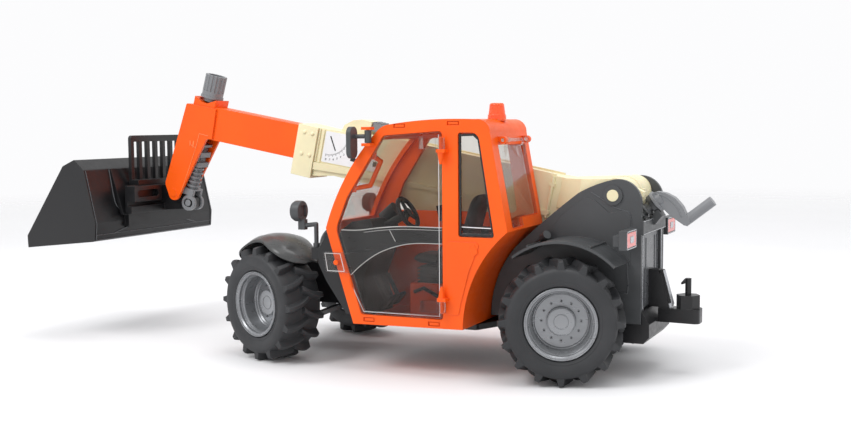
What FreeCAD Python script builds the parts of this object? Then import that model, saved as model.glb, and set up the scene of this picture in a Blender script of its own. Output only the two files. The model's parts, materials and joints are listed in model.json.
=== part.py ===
import FreeCAD, Part
import math
import os

# Toy telescopic handler with a loader bucket, 1:16 class, in millimetres.
# Vehicle axes: +X forward, +Y to the driver's left (the cab side), +Z up. Every piece is drawn from
# the point on the ground under the middle of the rear axle, and save() moves it by ORIGIN_SHIFT so
# that the part's origin is the middle of its box, on the ground.
ORIGIN_SHIFT = FreeCAD.Vector(-148.8, 0, 0)
OUT = "parts"

# wheels
WHEEL_RADIUS = 34.0
RIM_RADIUS = 19.4
SEAT_RADIUS = 18.6          # where the tyre sits on the rim
KINGPIN_DEPTH = 22.0        # from the rim ring's face inwards to the kingpin
FRONT_KINGPIN = (180.9, 42.6)
REAR_KINGPIN = (6.4, 41.7)
FRONT_STEER = -21.0         # degrees about +Z as stored, wheels turned to the right
REAR_STEER = 16.8
STUB_RADIUS = 2.4
RUNNING = 0.05              # radial clearance of a running fit
GAP = 0.2                   # clearance beside a moving face
TIE_ARM = (13.0, 9.0)       # tie-rod pin from the kingpin: along the vehicle, inwards
TIE_PIN_RADIUS = 1.2
TIE_ROD_Z = 22.6

# boom
BOOM_Y = -3.0               # centre plane of boom, head, coupler and bucket
BOOM_PIVOT = (-17.7, 100.1)
BOOM_ANGLE = 12.2           # degrees above horizontal as stored
INNER_DROOP = 1.7           # the inner boom lies this much lower than the outer one
BOOM_HALF = 9.0
BOOM_LENGTH = 211.0
INNER_HALF = 7.2
INNER_HEIGHT = 21.4
INNER_CENTRE = (211.0, -16.2)
PIVOT_PIN_RADIUS = 3.2
BARREL_RADIUS = 9.2

# lift drive: a worm on the crank turns a toothed sector on the boom's tail
CRANK_TILT = 52.0           # crank axis from vertical, leaning back
CENTRE_DISTANCE = 14.5
SECTOR_TEETH = 20           # on a full circle
SECTOR_PITCH_RADIUS = 10.5
WORM_PITCH_RADIUS = CENTRE_DISTANCE - SECTOR_PITCH_RADIUS
WORM_LEAD = 2 * math.pi * SECTOR_PITCH_RADIUS / SECTOR_TEETH
CRANK_RADIUS = 18.2

# bucket tilt drive
TILT_LEAN = 16.0            # knob axis from vertical, lower end forward
KNOB_BASE = (262.3, 157.7)
COUPLER_PIVOT = (289.0, 95.3)
TILT_PIN = (279.6, 88.3)
TILT_PIN_RADIUS = 2.4
TONGUE_HALF = 2.8           # the coupler's tongue, between the rings of the tilt link
SPINDLE_RADIUS = 2.1

# rear frame and cab
PLATE_OUTER = 26.3
PLATE_THICK = 3.0
ARCH_OUTER = 55.0           # outer edge of the rear wheel arches
CAB_RIGHT = 8.0
CAB_LEFT = 66.0
FRAME_THICK = 4.0
WALL = 2.6
HINGE_X, HINGE_Y = 65.4, 69.2       # the door's hinge line
HINGE_Z = (126.0, 43.5)             # where its upper and lower pegs start
HINGE_PIN = 1.0
MIRROR_AXIS = (109.0, 69.4)
WINDOW_HINGE = (34.8, 130.6)
SILL_STEP = 40.5                    # the rear window reaches lower outside this y
STEERING_CENTRE = (100.0, 38.0, 88.6)
LEFT_LAMP = (151.2, 54.6)           # where the lamps' stalks stand
RIGHT_LAMP = (147.2, -28.0)
HITCH_X = -53.4
BUTTON_U = 158.4                    # the lock button, along the boom
BUCKET_HALF = 63.4
RECESS_HALF = 39.0                  # half width of the recess in the bucket's back
CARRIER_HALF = 37.4


def vec(x, y, z):
    return FreeCAD.Vector(x, y, z)


X_AXIS, Y_AXIS, Z_AXIS = vec(1, 0, 0), vec(0, 1, 0), vec(0, 0, 1)
COLUMN = vec(0.87, 0, -0.493)       # down the steering column


def save(name, *shapes):
    """Writes one node, as the solids given, in the part's own frame."""
    moved = []
    for shape in shapes:
        copy = shape.copy()
        copy.translate(ORIGIN_SHIFT)
        moved += copy.Solids
    whole = moved[0] if len(moved) == 1 else Part.makeCompound(moved)
    whole.exportStep(os.path.join(OUT, name + ".step"))


# ---------- drawing helpers

def box(x, y, z):
    """A block from three (low, high) pairs."""
    low = vec(x[0], y[0], z[0])
    return Part.makeBox(x[1] - x[0], y[1] - y[0], z[1] - z[0], low)


def rod(start, end, radius):
    """A round bar between two points."""
    start, end = vec(*start), vec(*end)
    return Part.makeCylinder(radius, (end - start).Length, start, end - start)


def bar_y(x, z, radius, y):
    """A round bar along Y between two y values."""
    return rod((x, y[0], z), (x, y[1], z), radius)


def bar_z(x, y, radius, z):
    return rod((x, y, z[0]), (x, y, z[1]), radius)


def union(shapes):
    whole = shapes[0].multiFuse(shapes[1:]) if len(shapes) > 1 else shapes[0]
    return whole.removeSplitter()


def rounded(points, radius):
    """A closed wire through flat points (3-D vectors) with its corners rounded.

    radius is one number, or one number for each corner."""
    count = len(points)
    radii = radius if isinstance(radius, (list, tuple)) else [radius] * count
    starts, ends, middles = [], [], []
    for i, point in enumerate(points):
        before = points[i - 1] - point
        after = points[(i + 1) % count] - point
        before.normalize()
        after.normalize()
        half = before.getAngle(after) / 2
        if radii[i] <= 0 or abs(half - math.pi / 2) < 1e-6:
            starts.append(point)
            ends.append(point)
            middles.append(None)
            continue
        reach = radii[i] / math.tan(half)
        centre_line = before + after
        centre_line.normalize()
        centre = point + centre_line * (radii[i] / math.sin(half))
        starts.append(point + before * reach)
        ends.append(point + after * reach)
        middles.append(centre - centre_line * radii[i])
    edges = []
    for i in range(count):
        if middles[i] is not None:
            edges.append(Part.Arc(starts[i], middles[i], ends[i]).toShape())
        following = starts[(i + 1) % count]
        if (following - ends[i]).Length > 1e-6:
            edges.append(Part.makeLine(ends[i], following))
    return Part.Wire(edges)


def side_profile(points, y, radius=0):
    """A prism along Y from (x, z) points."""
    wire = rounded([vec(px, y[0], pz) for px, pz in points], radius)
    return Part.Face(wire).extrude(vec(0, y[1] - y[0], 0))


def plan_profile(points, z, radius=0):
    """A prism along Z from (x, y) points."""
    wire = rounded([vec(px, py, z[0]) for px, py in points], radius)
    return Part.Face(wire).extrude(vec(0, 0, z[1] - z[0]))


def front_profile(points, x, radius=0):
    """A prism along X from (y, z) points."""
    wire = rounded([vec(x[0], py, pz) for py, pz in points], radius)
    return Part.Face(wire).extrude(vec(x[1] - x[0], 0, 0))


def turned(points, radius=0):
    """A body of revolution about Z from (radius, z) points."""
    face = Part.Face(rounded([vec(r, 0, z) for r, z in points], radius))
    return face.revolve(vec(0, 0, 0), Z_AXIS, 360)


def line_edge(a, b, y):
    return Part.makeLine(vec(a[0], y, a[1]), vec(b[0], y, b[1]))


def arc_edge(a, via, b, y):
    points = [vec(p[0], y, p[1]) for p in (a, via, b)]
    return Part.Arc(*points).toShape()


# ---------- local frames

def on_boom(shape):
    """Boom frame: origin on the boom pivot, +X along the outer boom, +Y as the vehicle's."""
    shape.rotate(vec(0, 0, 0), Y_AXIS, -BOOM_ANGLE)
    shape.translate(vec(BOOM_PIVOT[0], 0, BOOM_PIVOT[1]))
    return shape


def on_inner_boom(shape):
    """Inner boom frame: origin at the collar's mouth on the boom's centre plane."""
    shape.rotate(vec(0, 0, 0), Y_AXIS, INNER_DROOP)
    shape.translate(vec(INNER_CENTRE[0], BOOM_Y, INNER_CENTRE[1]))
    return on_boom(shape)


def on_crank_axis(shape):
    """Crank frame: +Z out along the crank's axis, +X towards the boom pivot."""
    shape.rotate(vec(0, 0, 0), Y_AXIS, -CRANK_TILT)
    tilt = math.radians(CRANK_TILT)
    shape.translate(vec(BOOM_PIVOT[0] - CENTRE_DISTANCE * math.cos(tilt), 0,
                        BOOM_PIVOT[1] - CENTRE_DISTANCE * math.sin(tilt)))
    return shape


def on_tilt_axis(shape):
    """Tilt frame: origin at the knob's base, +Z up the knob's axis, +X forward."""
    shape.rotate(vec(0, 0, 0), Y_AXIS, -TILT_LEAN)
    shape.translate(vec(KNOB_BASE[0], BOOM_Y, KNOB_BASE[1]))
    return shape


def at_corner(shape, kingpin, side, steer):
    """Corner frame: origin on the ground under the kingpin, +Y out of the wheel."""
    if side < 0:
        shape = shape.mirror(vec(0, 0, 0), Y_AXIS)
    shape.rotate(vec(0, 0, 0), Z_AXIS, steer)
    shape.translate(vec(kingpin[0], side * kingpin[1], 0))
    return shape


def on_wheel_axle(shape):
    """Wheel frame: +Z into the wheel from the rim ring's face, about the stub axle."""
    shape.rotate(vec(0, 0, 0), X_AXIS, 90)
    shape.translate(vec(0, KINGPIN_DEPTH, WHEEL_RADIUS))
    return shape


# ---------- wheels and steering

def tyre():
    crown = WHEEL_RADIUS
    profile = [(SEAT_RADIUS, 2.0), (RIM_RADIUS + 0.1, 2.0), (RIM_RADIUS + 0.1, 0.6), (24.0, -0.9),
               (29.7, -0.4), (crown, 3.0), (crown, 23.0), (29.7, 26.4), (24.0, 26.9), (SEAT_RADIUS, 25.4)]
    return turned(profile, [0, 0, 0.3, 4.0, 2.5, 1.2, 1.2, 2.5, 4.0, 0])


def rim():
    cap_inner = 10.3
    profile = [(0, 8.8), (7.3, 8.8), (7.3, 9.4), (7.7, 9.4), (7.9, 12.7), (14.2, 12.7), (15.6, 11.0),
               (16.2, 4.0), (17.2, 2.2), (17.2, 0.8), (17.9, 0.0), (RIM_RADIUS, 0.0), (RIM_RADIUS, 1.9),
               (SEAT_RADIUS, 1.9), (SEAT_RADIUS, 26.4), (16.8, 26.4), (16.8, 15.3), (5.2, 15.3),
               (5.2, 13.0), (0, 13.0)]
    body = turned(profile)
    bore = Part.makeCylinder(STUB_RADIUS + RUNNING, 10, vec(0, 0, cap_inner))
    return body.cut(bore)


def knuckle(arm_side):
    """One-piece knuckle: two cheeks, web, kingpin, stub axle and the tie-rod arm."""
    cheek = [(-4.2, -4.2), (4.2, -4.2), (4.2, 6.3), (-4.2, 6.3)]
    low = plan_profile(cheek, (25.6, 28.2), 3.0)
    high = plan_profile(cheek, (39.8, 42.2), 3.0)
    web = box((-4.2, 4.2), (4.1, 6.3), (25.6, 42.2))
    kingpin = bar_z(0, 0, 1.8, (25.6, 42.2))
    stub = rod((0, 5, WHEEL_RADIUS), (0, KINGPIN_DEPTH - 10.5, WHEEL_RADIUS), STUB_RADIUS)
    tip = (arm_side * TIE_ARM[0], -TIE_ARM[1])
    along = vec(tip[0], tip[1], 0)
    across = vec(-tip[1], tip[0], 0)
    across.normalize()
    across = across * 2.2
    arm = plan_profile([(across.x, across.y), (-across.x, -across.y),
                        (along.x - across.x, along.y - across.y),
                        (along.x + across.x, along.y + across.y)], (25.6, 28.0))
    boss = bar_z(tip[0], tip[1], 2.6, (25.6, 28.0))
    pin = bar_z(tip[0], tip[1], TIE_PIN_RADIUS, (TIE_ROD_Z - 0.6, 25.8))
    return union([low, high, web, kingpin, stub, arm, boss, pin])


def lengthwise_slot(start, end, half, z):
    """A round-ended bar along X between two centres, drawn in plan."""
    return union([bar_z(start, 0, half, z), bar_z(end, 0, half, z), box((start, end), (-half, half), z)])


def tie_rod(kingpin, steer, arm_side):
    """Pinned to the left arm; its right end has a slot, which takes up the linkage's small misfit."""
    angle = math.radians(steer)
    ends = []
    for side in (1, -1):
        ax, ay = arm_side * TIE_ARM[0], -side * TIE_ARM[1]
        ends.append(vec(kingpin[0] + ax * math.cos(angle) - ay * math.sin(angle),
                        side * kingpin[1] + ax * math.sin(angle) + ay * math.cos(angle), 0))
    left, right = ends
    nearest, furthest = 2 * (kingpin[1] - TIE_ARM[1]), (right - left).Length
    bore = TIE_PIN_RADIUS + RUNNING
    slot_half, head_half = TIE_PIN_RADIUS + 0.16, 2.5
    z = (TIE_ROD_Z, TIE_ROD_Z + 2.8)
    slot = lengthwise_slot(nearest - 0.1, furthest + 0.2, slot_half, z)
    head = lengthwise_slot(nearest - 0.9, furthest + 0.2, head_half, z)
    body = union([bar_z(0, 0, 2.8, z), box((0, furthest), (-1.6, 1.6), z), head])
    body = body.cut(bar_z(0, 0, bore, z)).cut(slot)
    body.rotate(vec(0, 0, 0), Z_AXIS, math.degrees(math.atan2(right.y - left.y, right.x - left.x)))
    body.translate(left)
    return body


def front_fender():
    """Domed leaf over the front tyre, on a post that stands on the knuckle."""
    half_angle = 50
    inner_edge, crest, outer_edge = vec(0, -9.0, 71.6), vec(0, 7.0, 75.0), vec(0, 20.8, 70.2)
    lower = [outer_edge - vec(0, 0.3, 1.4), crest - vec(0, 0, 1.4), inner_edge - vec(0, -0.3, 1.4)]
    upper_arc = Part.Arc(inner_edge, crest, outer_edge).toShape()
    lower_arc = Part.Arc(*lower).toShape()
    ends = [Part.makeLine(outer_edge, lower[0]), Part.makeLine(lower[2], inner_edge)]
    face = Part.Face(Part.Wire([upper_arc, ends[0], lower_arc, ends[1]]))
    axle = vec(0, 0, WHEEL_RADIUS)
    face.rotate(axle, Y_AXIS, -half_angle)
    shell = face.revolve(axle, Y_AXIS, 2 * half_angle)
    leaf = plan_profile([(-28, 4), (-23, -8.9), (24, -8.9), (32, 4), (26, 17), (6, 20.7), (-20, 17.5)],
                        (50, 90), [5, 8, 10, 5, 12, 20, 12])
    post = front_profile([(-9.2, 43.7), (-9.2, 42.2), (3.5, 42.2), (3.5, 43.7), (-6.2, 43.7), (-6.2, 71.4),
                          (-8.2, 71.0)], (-3, 3))
    return union([shell.common(leaf), post])


def axle_beam(kingpin):
    x = (kingpin[0] - 4, kingpin[0] + 4)
    beam = box(x, (-kingpin[1], kingpin[1]), (28.5, 39.5))
    bosses = [bar_z(kingpin[0], side * kingpin[1], 3.7, (28.5, 39.5)) for side in (1, -1)]
    trimmed = beam.cut(box((x[0] - 1, x[1] + 1), (kingpin[1], kingpin[1] + 5), (20, 50)))
    whole = union([trimmed] + bosses)
    for side in (1, -1):
        whole = whole.cut(bar_z(kingpin[0], side * kingpin[1], 1.8 + RUNNING, (20, 50)))
    return whole


def build_corners():
    axles = {"front": (FRONT_KINGPIN, FRONT_STEER, -1), "rear": (REAR_KINGPIN, REAR_STEER, 1)}
    for axle, (kingpin, steer, arm_side) in axles.items():
        save(axle + "_axle_beam", axle_beam(kingpin))
        save("tie_rod_" + axle, tie_rod(kingpin, steer, arm_side))
        for name, side in (("left", 1), ("right", -1)):
            corner = "_%s_%s" % (axle, name)
            save("knuckle" + corner, at_corner(knuckle(arm_side), kingpin, side, steer))
            save("tyre" + corner, at_corner(on_wheel_axle(tyre()), kingpin, side, steer))
            save("rim" + corner, at_corner(on_wheel_axle(rim()), kingpin, side, steer))
            if axle == "front":
                save("fender" + corner, at_corner(front_fender(), kingpin, side, steer))


# ---------- chassis, rear end and hitch

def beam_clearance():
    """The space of both axle beams, taken out of the frame and the side plates."""
    spaces = []
    for kingpin in (FRONT_KINGPIN, REAR_KINGPIN):
        spaces.append(box((kingpin[0] - 4, kingpin[0] + 4), (-40, 40), (28.5, 39.5)))
    return Part.makeCompound(spaces)


def chassis_frame():
    rear = box((-28, 27), (-23.3, 23.3), (30, 60))
    spine = box((25, 138), (-19.3, 7.8), (30, 60))
    nose = side_profile([(136, 30), (206, 30), (212, 38), (212, 52), (200, 60), (136, 60)], (-18, 18), 2)
    belly = plan_profile([(27.6, -19), (46, -19), (56, -42), (118, -42),
                          (118, 42), (56, 42), (46, 19), (27.6, 19)],
                         (23.8, 27.2), 3)
    belly_link = box((28, 117), (-18, 7.8), (27.0, 30.2))
    bearing_post = box((-22, -13.5), (-4, 4), (59, 84))
    body = union([rear, spine, nose, belly, belly_link, bearing_post])
    journal = on_crank_axis(Part.makeCylinder(2.0 + RUNNING, 13, vec(0, 0, -22)))
    shoulder = on_crank_axis(Part.makeCylinder(5.6, 30, vec(0, 0, -9.8)))
    return body.cut(beam_clearance()).cut(shoulder).cut(journal)


def plate_outline(y):
    """Rear side plate: domed top over the boom pivot, wheel arch curve behind the cab."""
    lower_front = (math.sqrt(53.4 ** 2 - (30.4 - WHEEL_RADIUS) ** 2), 30.4)
    arch_top = (36.0, 72.6)
    arch_mid = (52.3 * math.cos(math.radians(22)), WHEEL_RADIUS + 53.4 * math.sin(math.radians(22)))
    top_rear = (-33.3, 96.5)
    edges = [arc_edge(lower_front, arch_mid, arch_top, y),
             arc_edge(arch_top, (19.5, 87.0), (2.0, 101.0), y),
             arc_edge((2.0, 101.0), (-6.6, 105.2), (-16.6, 108.4), y),
             arc_edge((-16.6, 108.4), (-28.6, 106.0), top_rear, y),
             line_edge(top_rear, (-33.3, 30.4), y),
             line_edge((-33.3, 30.4), lower_front, y)]
    return Part.Wire(edges)


def wheel_arch():
    """Ledge over the rear wheel, and the round space under it."""
    centre_x, centre_z, outer, inner = 3.6, 33.2, 44.0, 42.5
    front_end, rear_end, reach = math.radians(38), math.radians(44), 62
    ledge = bar_y(centre_x, centre_z, outer, (PLATE_OUTER - 0.1, ARCH_OUTER))
    space = bar_y(centre_x, centre_z, inner, (0, ARCH_OUTER + 5))
    wedge = side_profile([(centre_x, centre_z),
                          (centre_x + reach * math.sin(front_end), centre_z + reach * math.cos(front_end)),
                          (centre_x, centre_z + 80),
                          (centre_x - reach * math.sin(rear_end), centre_z + reach * math.cos(rear_end))],
                         (0, ARCH_OUTER + 5))
    ribs = []
    for lean in (-22, 24):
        rib = box((-0.6, 0.6), (PLATE_OUTER, ARCH_OUTER - 0.6), (outer - 0.4, outer + 1.0))
        rib.rotate(vec(0, 0, 0), Y_AXIS, lean)
        rib.translate(vec(centre_x, 0, centre_z))
        ribs.append(rib)
    return union([ledge.cut(space).common(wedge)] + ribs), space


def side_plate(side):
    """Left plate with its boss, raised rim and wheel arch; the right one is its mirror image."""
    inner = PLATE_OUTER - PLATE_THICK
    plate = Part.Face(plate_outline(inner)).extrude(vec(0, PLATE_THICK, 0))
    boss = bar_y(BOOM_PIVOT[0], BOOM_PIVOT[1], 5.4, (PLATE_OUTER - 0.1, PLATE_OUTER + 1.0))
    panel = side_profile([(-27.4, 90), (-24.6, 92.2), (-16, 90.5), (-8, 97), (-2, 99), (12, 88), (28, 66),
                          (28, 47), (-27, 47)], (PLATE_OUTER - 0.1, PLATE_OUTER + 0.6), 1.5)
    arch, arch_space = wheel_arch()
    panel = panel.cut(arch_space)
    lever = rod((27.5, PLATE_OUTER - 1, 71.3), (19.2, PLATE_OUTER + 6, 77.0), 1.3)
    knob = rod((20.4, PLATE_OUTER + 5, 76.2), (17.2, PLATE_OUTER + 7.7, 78.4), 2.4)
    body = union([plate, boss, panel, arch, lever, knob])
    body = body.cut(bar_y(BOOM_PIVOT[0], BOOM_PIVOT[1], PIVOT_PIN_RADIUS, (0, 40)))
    body = body.cut(beam_clearance())
    return body if side > 0 else body.mirror(vec(0, 0, 0), Y_AXIS)


def rear_panel():
    """Grey engine-bay panel, black crossbar above it and the crank's upper bearing."""
    inner = PLATE_OUTER - PLATE_THICK
    sheet = box((-31.6, -28), (-inner, inner), (37.2, 79))
    frames = [box((-33.3, -31), (s - 1.2, s + 1.2), (37.2, 79)) for s in (-20.6, 20.6)]
    crossbar = box((-33.3, -28.6), (-inner, inner), (78.8, 86.7))
    cover = box((-34.5, -33.3), (-PLATE_OUTER, PLATE_OUTER), (79.0, 86.7))
    leg = side_profile([(-33.4, 83.0), (-35.6, 83.0), (-39.4, 87.8), (-37.2, 91.6), (-35.3, 90.0), (-33.4, 86.6)],
                       (-4.5, 4.5))
    ring = on_crank_axis(Part.makeCylinder(5.6, 2.3, vec(0, 0, 7.9)))
    worm_space = on_crank_axis(Part.makeCylinder(5.4, 19.7, vec(0, 0, -12)))
    body = union([union([sheet, crossbar, cover, leg] + frames).cut(worm_space), ring])
    return body.cut(on_crank_axis(Part.makeCylinder(2.4 + RUNNING, 20, vec(0, 0, 0))))


def rear_bumper():
    return side_profile([(-8, 19.4), (-34.4, 19.4), (-37.6, 23), (-37.6, 30.2), (-33.5, 37), (-28.2, 37),
                         (-28.2, 30), (-8, 30)], (-24.7, 24.7)).cut(
        side_profile([(-33.5, 38), (-33.5, 30.3), (-8, 30.3), (-8, 38)], (23.3, 30))).cut(
        side_profile([(-33.5, 38), (-33.5, 30.3), (-8, 30.3), (-8, 38)], (-30, -23.3)))


def tail_light_housing(side):
    frame = box((-33.4, -29.2), (37, 57), (73.6, 83.6)).cut(box((-34, -32.2), (38.2, 55.8), (74.8, 82.4)))
    arm = box((-29.4, -25.0), (PLATE_OUTER, 53.0), (75.2, 80.8))
    body = union([frame, arm]).cut(side_plate(1))
    return body if side > 0 else body.mirror(vec(0, 0, 0), Y_AXIS)


def tail_light_lens(side):
    lens = box((-33.5, -32.2), (38.2, 55.8), (74.8, 82.4))
    return lens if side > 0 else lens.mirror(vec(0, 0, 0), Y_AXIS)


def hitch_bracket():
    web = side_profile([(-37.6, 28.8), (-37.6, 56), (-39.0, 56), (-43.6, 37), (-43.6, 28.8)], (-3.6, 3.6))
    strut = side_profile([(-37.6, 57.6), (-39.8, 57.6), (-45.0, 37.6), (-45.0, 36), (-41.4, 36)], (-2.6, 2.6))
    mount = box((-37.6, -31.7), (-3.6, 3.6), (37, 58))
    tongue = plan_profile([(-37.6, -4.4), (-37.6, 4.4), (-60.6, 6.4), (-60.6, -6.4)], (28.8, 36.6), [0, 0, 3, 3])
    corners = [(HITCH_X + 6.6 * math.cos(math.radians(60 * k)), 6.6 * math.sin(math.radians(60 * k)))
               for k in range(6)]
    pot = plan_profile(corners, (36.4, 44.2), 0.8)
    body = union([web, strut, mount, tongue, pot])
    return body.cut(bar_z(HITCH_X, 0, 1.75, (20, 60)))


def hitch_pin():
    shank = bar_z(HITCH_X, 0, 1.7, (29.2, 53.4))
    barb = side_profile([(HITCH_X, 53.4), (HITCH_X + 1.6, 53.4), (HITCH_X + 4.0, 50.6), (HITCH_X + 3.4, 49.8),
                         (HITCH_X + 1.2, 50.6), (HITCH_X, 50.6)], (-1.3, 1.3), [0, 1.2, 0.3, 0.3, 0, 0])
    return union([shank, barb])


def engine_hood():
    y = (-62, -19.6)
    arch_low, arch_high = (54.5, 28.0), (30.5, 78.0)
    top = (38.0, 86.0)
    edges = [arc_edge(arch_low, (47.4, 59.0), arch_high, y[0]), line_edge(arch_high, top, y[0]),
             line_edge(top, (106.0, 86.0), y[0]),
             arc_edge((106.0, 86.0), (124.0, 80.6), (134.5, 66.0), y[0]),
             line_edge((134.5, 66.0), (121.5, 28.0), y[0]), line_edge((121.5, 28.0), arch_low, y[0])]
    block = Part.Face(Part.Wire(edges)).extrude(vec(0, y[1] - y[0], 0))
    long_edges = [e for e in block.Edges if e.Length > 60 and abs(e.BoundBox.YMin - y[0]) < 0.01
                  and e.BoundBox.YLength < 0.01 and e.BoundBox.ZMin > 80]
    block = block.makeFillet(5.0, long_edges)
    slots = [box((58 + 9 * k, 63 + 9 * k), (-63, -60.8), (46, 66)) for k in range(6)]
    return block.cut(Part.makeCompound(slots)).cut(box((0, 140), (-43, -19), (20, 27.2)))


# ---------- cab

def cab_outline(y):
    """Side view of the cab: raked windshield, long roof, rear curve over the wheel."""
    foot, knee = (121.5, 27.3), (138.4, 81.0)
    brow, roof_front, roof_rear = (105.0, 136.0), (98.0, 139.4), (46.5, 141.8)
    rear_top, rear_low, rear_foot = (38.3, 134.5), (28.6, 82.0), (54.5, 28.0)
    edges = [line_edge(foot, knee, y), arc_edge(knee, (127.4, 106.6), brow, y),
             arc_edge(brow, (102.0, 138.2), roof_front, y), arc_edge(roof_front, (71.0, 142.0), roof_rear, y),
             arc_edge(roof_rear, (40.6, 140.0), rear_top, y), line_edge(rear_top, rear_low, y),
             arc_edge(rear_low, (46.9, 59.0), rear_foot, y), line_edge(rear_foot, foot, y)]
    return Part.Wire(edges)


def door_outline(y, inset):
    points = [(66.0 + inset, 32.8 + inset), (116.4 - inset, 32.8 + inset), (132.0 - inset, 81.0),
              (124.6 - inset, 99.0), (101.5 - inset, 133.4 - inset), (66.0 + inset, 135.8 - inset)]
    return rounded([vec(x, y, z) for x, z in points], [2, 2, 9, 26, 3, 2])


def side_window_outline(y, inset):
    points = [(56.8 - inset, 78.6 + inset), (56.8 - inset, 134.8 - inset), (45.0 + inset, 134.8 - inset),
              (36.0 + inset, 78.6 + inset)]
    return rounded([vec(x, y, z) for x, z in points], [1.5, 1.5, 5, 1.5])


def slab(wire, depth):
    """A plate from a wire in the XZ plane, thickened along +Y."""
    return Part.Face(wire).extrude(vec(0, depth, 0))


def cab_side_frame():
    """Clip-on left side with the door and window openings, hinge pegs, mirror lugs and grab handle."""
    inner = CAB_LEFT - FRAME_THICK
    frame = slab(cab_outline(inner), FRAME_THICK)
    frame = frame.cut(slab(door_outline(inner - 1, 0), FRAME_THICK + 2))
    frame = frame.cut(slab(side_window_outline(inner - 1, 0), FRAME_THICK + 2))
    lower_panel = side_profile([(64.0, 36.0), (64.0, 76.0), (44.0, 76.0), (50.6, 60.0), (55.5, 42.0),
                                (56.5, 36.0)], (CAB_LEFT - 0.1, CAB_LEFT + 0.5), 2)
    pegs = []
    for z, lean in ((HINGE_Z[0], 1), (HINGE_Z[1], -1)):
        span = sorted((z, z - 1.8 * lean))
        shelf = union([box((62.2, HINGE_X), (CAB_LEFT - 0.05, HINGE_Y + 2.2), span),
                       bar_z(HINGE_X, HINGE_Y, 2.6, span)])
        tip = Part.makeCone(1.9, 0.7, 6.5, vec(HINGE_X, HINGE_Y, z - 1.6 * lean), vec(0, 0, -lean))
        pegs += [shelf, tip, bar_z(HINGE_X, HINGE_Y, HINGE_PIN, sorted((z - 0.5 * lean, z + 6.6 * lean)))]
    lugs = [box((106.8, 112.2), (CAB_LEFT - 0.05, MIRROR_AXIS[1] + 2.0), (z, z + 1.6)) for z in (127.6, 136.6)]
    mirror_pin = bar_z(MIRROR_AXIS[0], MIRROR_AXIS[1], 1.0, (127.8, 138.0))
    handle_y = inner - 3.4
    handle = [rod((106.6, handle_y, 119.0), (113.4, handle_y, 105.2), 1.3),
              rod((106.6, handle_y, 119.0), (109.6, inner + 0.5, 121.8), 1.3),
              rod((113.4, handle_y, 105.2), (121.6, inner + 0.5, 103.6), 1.3),
              Part.makeSphere(1.3, vec(106.6, handle_y, 119.0)), Part.makeSphere(1.3, vec(113.4, handle_y, 105.2))]
    rim_post = box((120.5, 124.5), (inner, inner + 1), (101.5, 105))
    top_post = box((107.5, 112), (inner, inner + 1), (120, 124))
    body = union([frame, lower_panel] + pegs + lugs + [mirror_pin] + handle
                 + [rim_post.common(slab(cab_outline(inner), 1)), top_post.common(slab(cab_outline(inner), 1))])
    notches = [box((x, x + 7), (CAB_LEFT - 1.0, CAB_LEFT + 1), z)
               for x, z in ((88.0, (137.6, 139.8)), (56.0, (138.8, 141.0)), (108.0, (29.0, 31.4)),
                            (68.0, (29.0, 31.4)))]
    return body.cut(Part.makeCompound(notches))


def cab_cavity(y):
    """The cab's inside, as a side outline a wall's thickness smaller."""
    return cab_outline(y).makeOffset2D(-WALL)


def cab_shell():
    """Roof, rear panel, right wall and floor in one moulding, open where the side frame clips on."""
    inner = CAB_LEFT - FRAME_THICK
    block = slab(cab_outline(CAB_RIGHT), inner - CAB_RIGHT)
    cavity = slab(cab_cavity(CAB_RIGHT + WALL), inner - CAB_RIGHT)
    shell = block.cut(cavity)
    front = side_profile([(150, 84.5), (150, 131), (110, 131), (100, 131), (112, 105), (122, 84.5)],
                         (CAB_RIGHT + 5, inner - 4))
    back = side_profile([(20, 88), (37.5, 88), (46, 128), (20, 128)], (CAB_RIGHT + 6, inner - 5))
    right = slab(window_hole(CAB_RIGHT - 1), WALL + 2)
    back_step = side_profile([(20, 83), (36.6, 83), (37.5, 89), (20, 89)], (SILL_STEP, inner - 5))
    lower_front = box((118, 150), (CAB_RIGHT + 5, inner - 4), (36, 76))
    shell = shell.cut(front).cut(back).cut(back_step).cut(right).cut(lower_front)
    lugs = [rod((WINDOW_HINGE[0], y, WINDOW_HINGE[1]), (WINDOW_HINGE[0], y + 3, WINDOW_HINGE[1]), 2.0)
            for y in (15.6, 53.0)]
    hinge_x, hinge_z = WINDOW_HINGE
    tabs = [box((hinge_x - 0.5, hinge_x + 4.5), (y, y + 3), (hinge_z - 1, hinge_z + 2))
            for y in (15.6, 53.0)]
    shell = union([shell] + lugs + [t.cut(cavity) for t in tabs])
    return shell.cut(bar_y(WINDOW_HINGE[0], WINDOW_HINGE[1], 1.0 + RUNNING, (15, 57)))


def window_hole(y):
    points = [(60, 88), (122.5, 88), (116, 104), (98.5, 131), (50, 134), (43, 88)]
    return rounded([vec(x, y, z) for x, z in points], 3)


def glazing():
    """Windshield and right-hand pane: one clear moulding set into the shell."""
    inner = CAB_LEFT - FRAME_THICK
    outer_band = slab(cab_outline(CAB_RIGHT).makeOffset2D(-0.6), inner - CAB_RIGHT)
    inner_band = slab(cab_outline(CAB_RIGHT).makeOffset2D(-1.8), inner - CAB_RIGHT)
    region = side_profile([(150, 84.5), (150, 131), (110, 131), (100, 131), (112, 105), (122, 84.5)],
                          (CAB_RIGHT + 5, inner - 4))
    windshield = outer_band.cut(inner_band).common(region)
    return windshield.Solids[0]


def right_pane():
    return slab(window_hole(CAB_RIGHT + 0.6), 1.2)


def side_window():
    inner = CAB_LEFT - FRAME_THICK
    pane = slab(side_window_outline(inner + 0.8, 0), 1.4)
    sill = box((37.5, 56.6), (inner + 0.8, inner + 2.6), (79.0, 80.6)).common(
        slab(side_window_outline(inner, 0), 4))
    return union([pane, sill])


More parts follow.
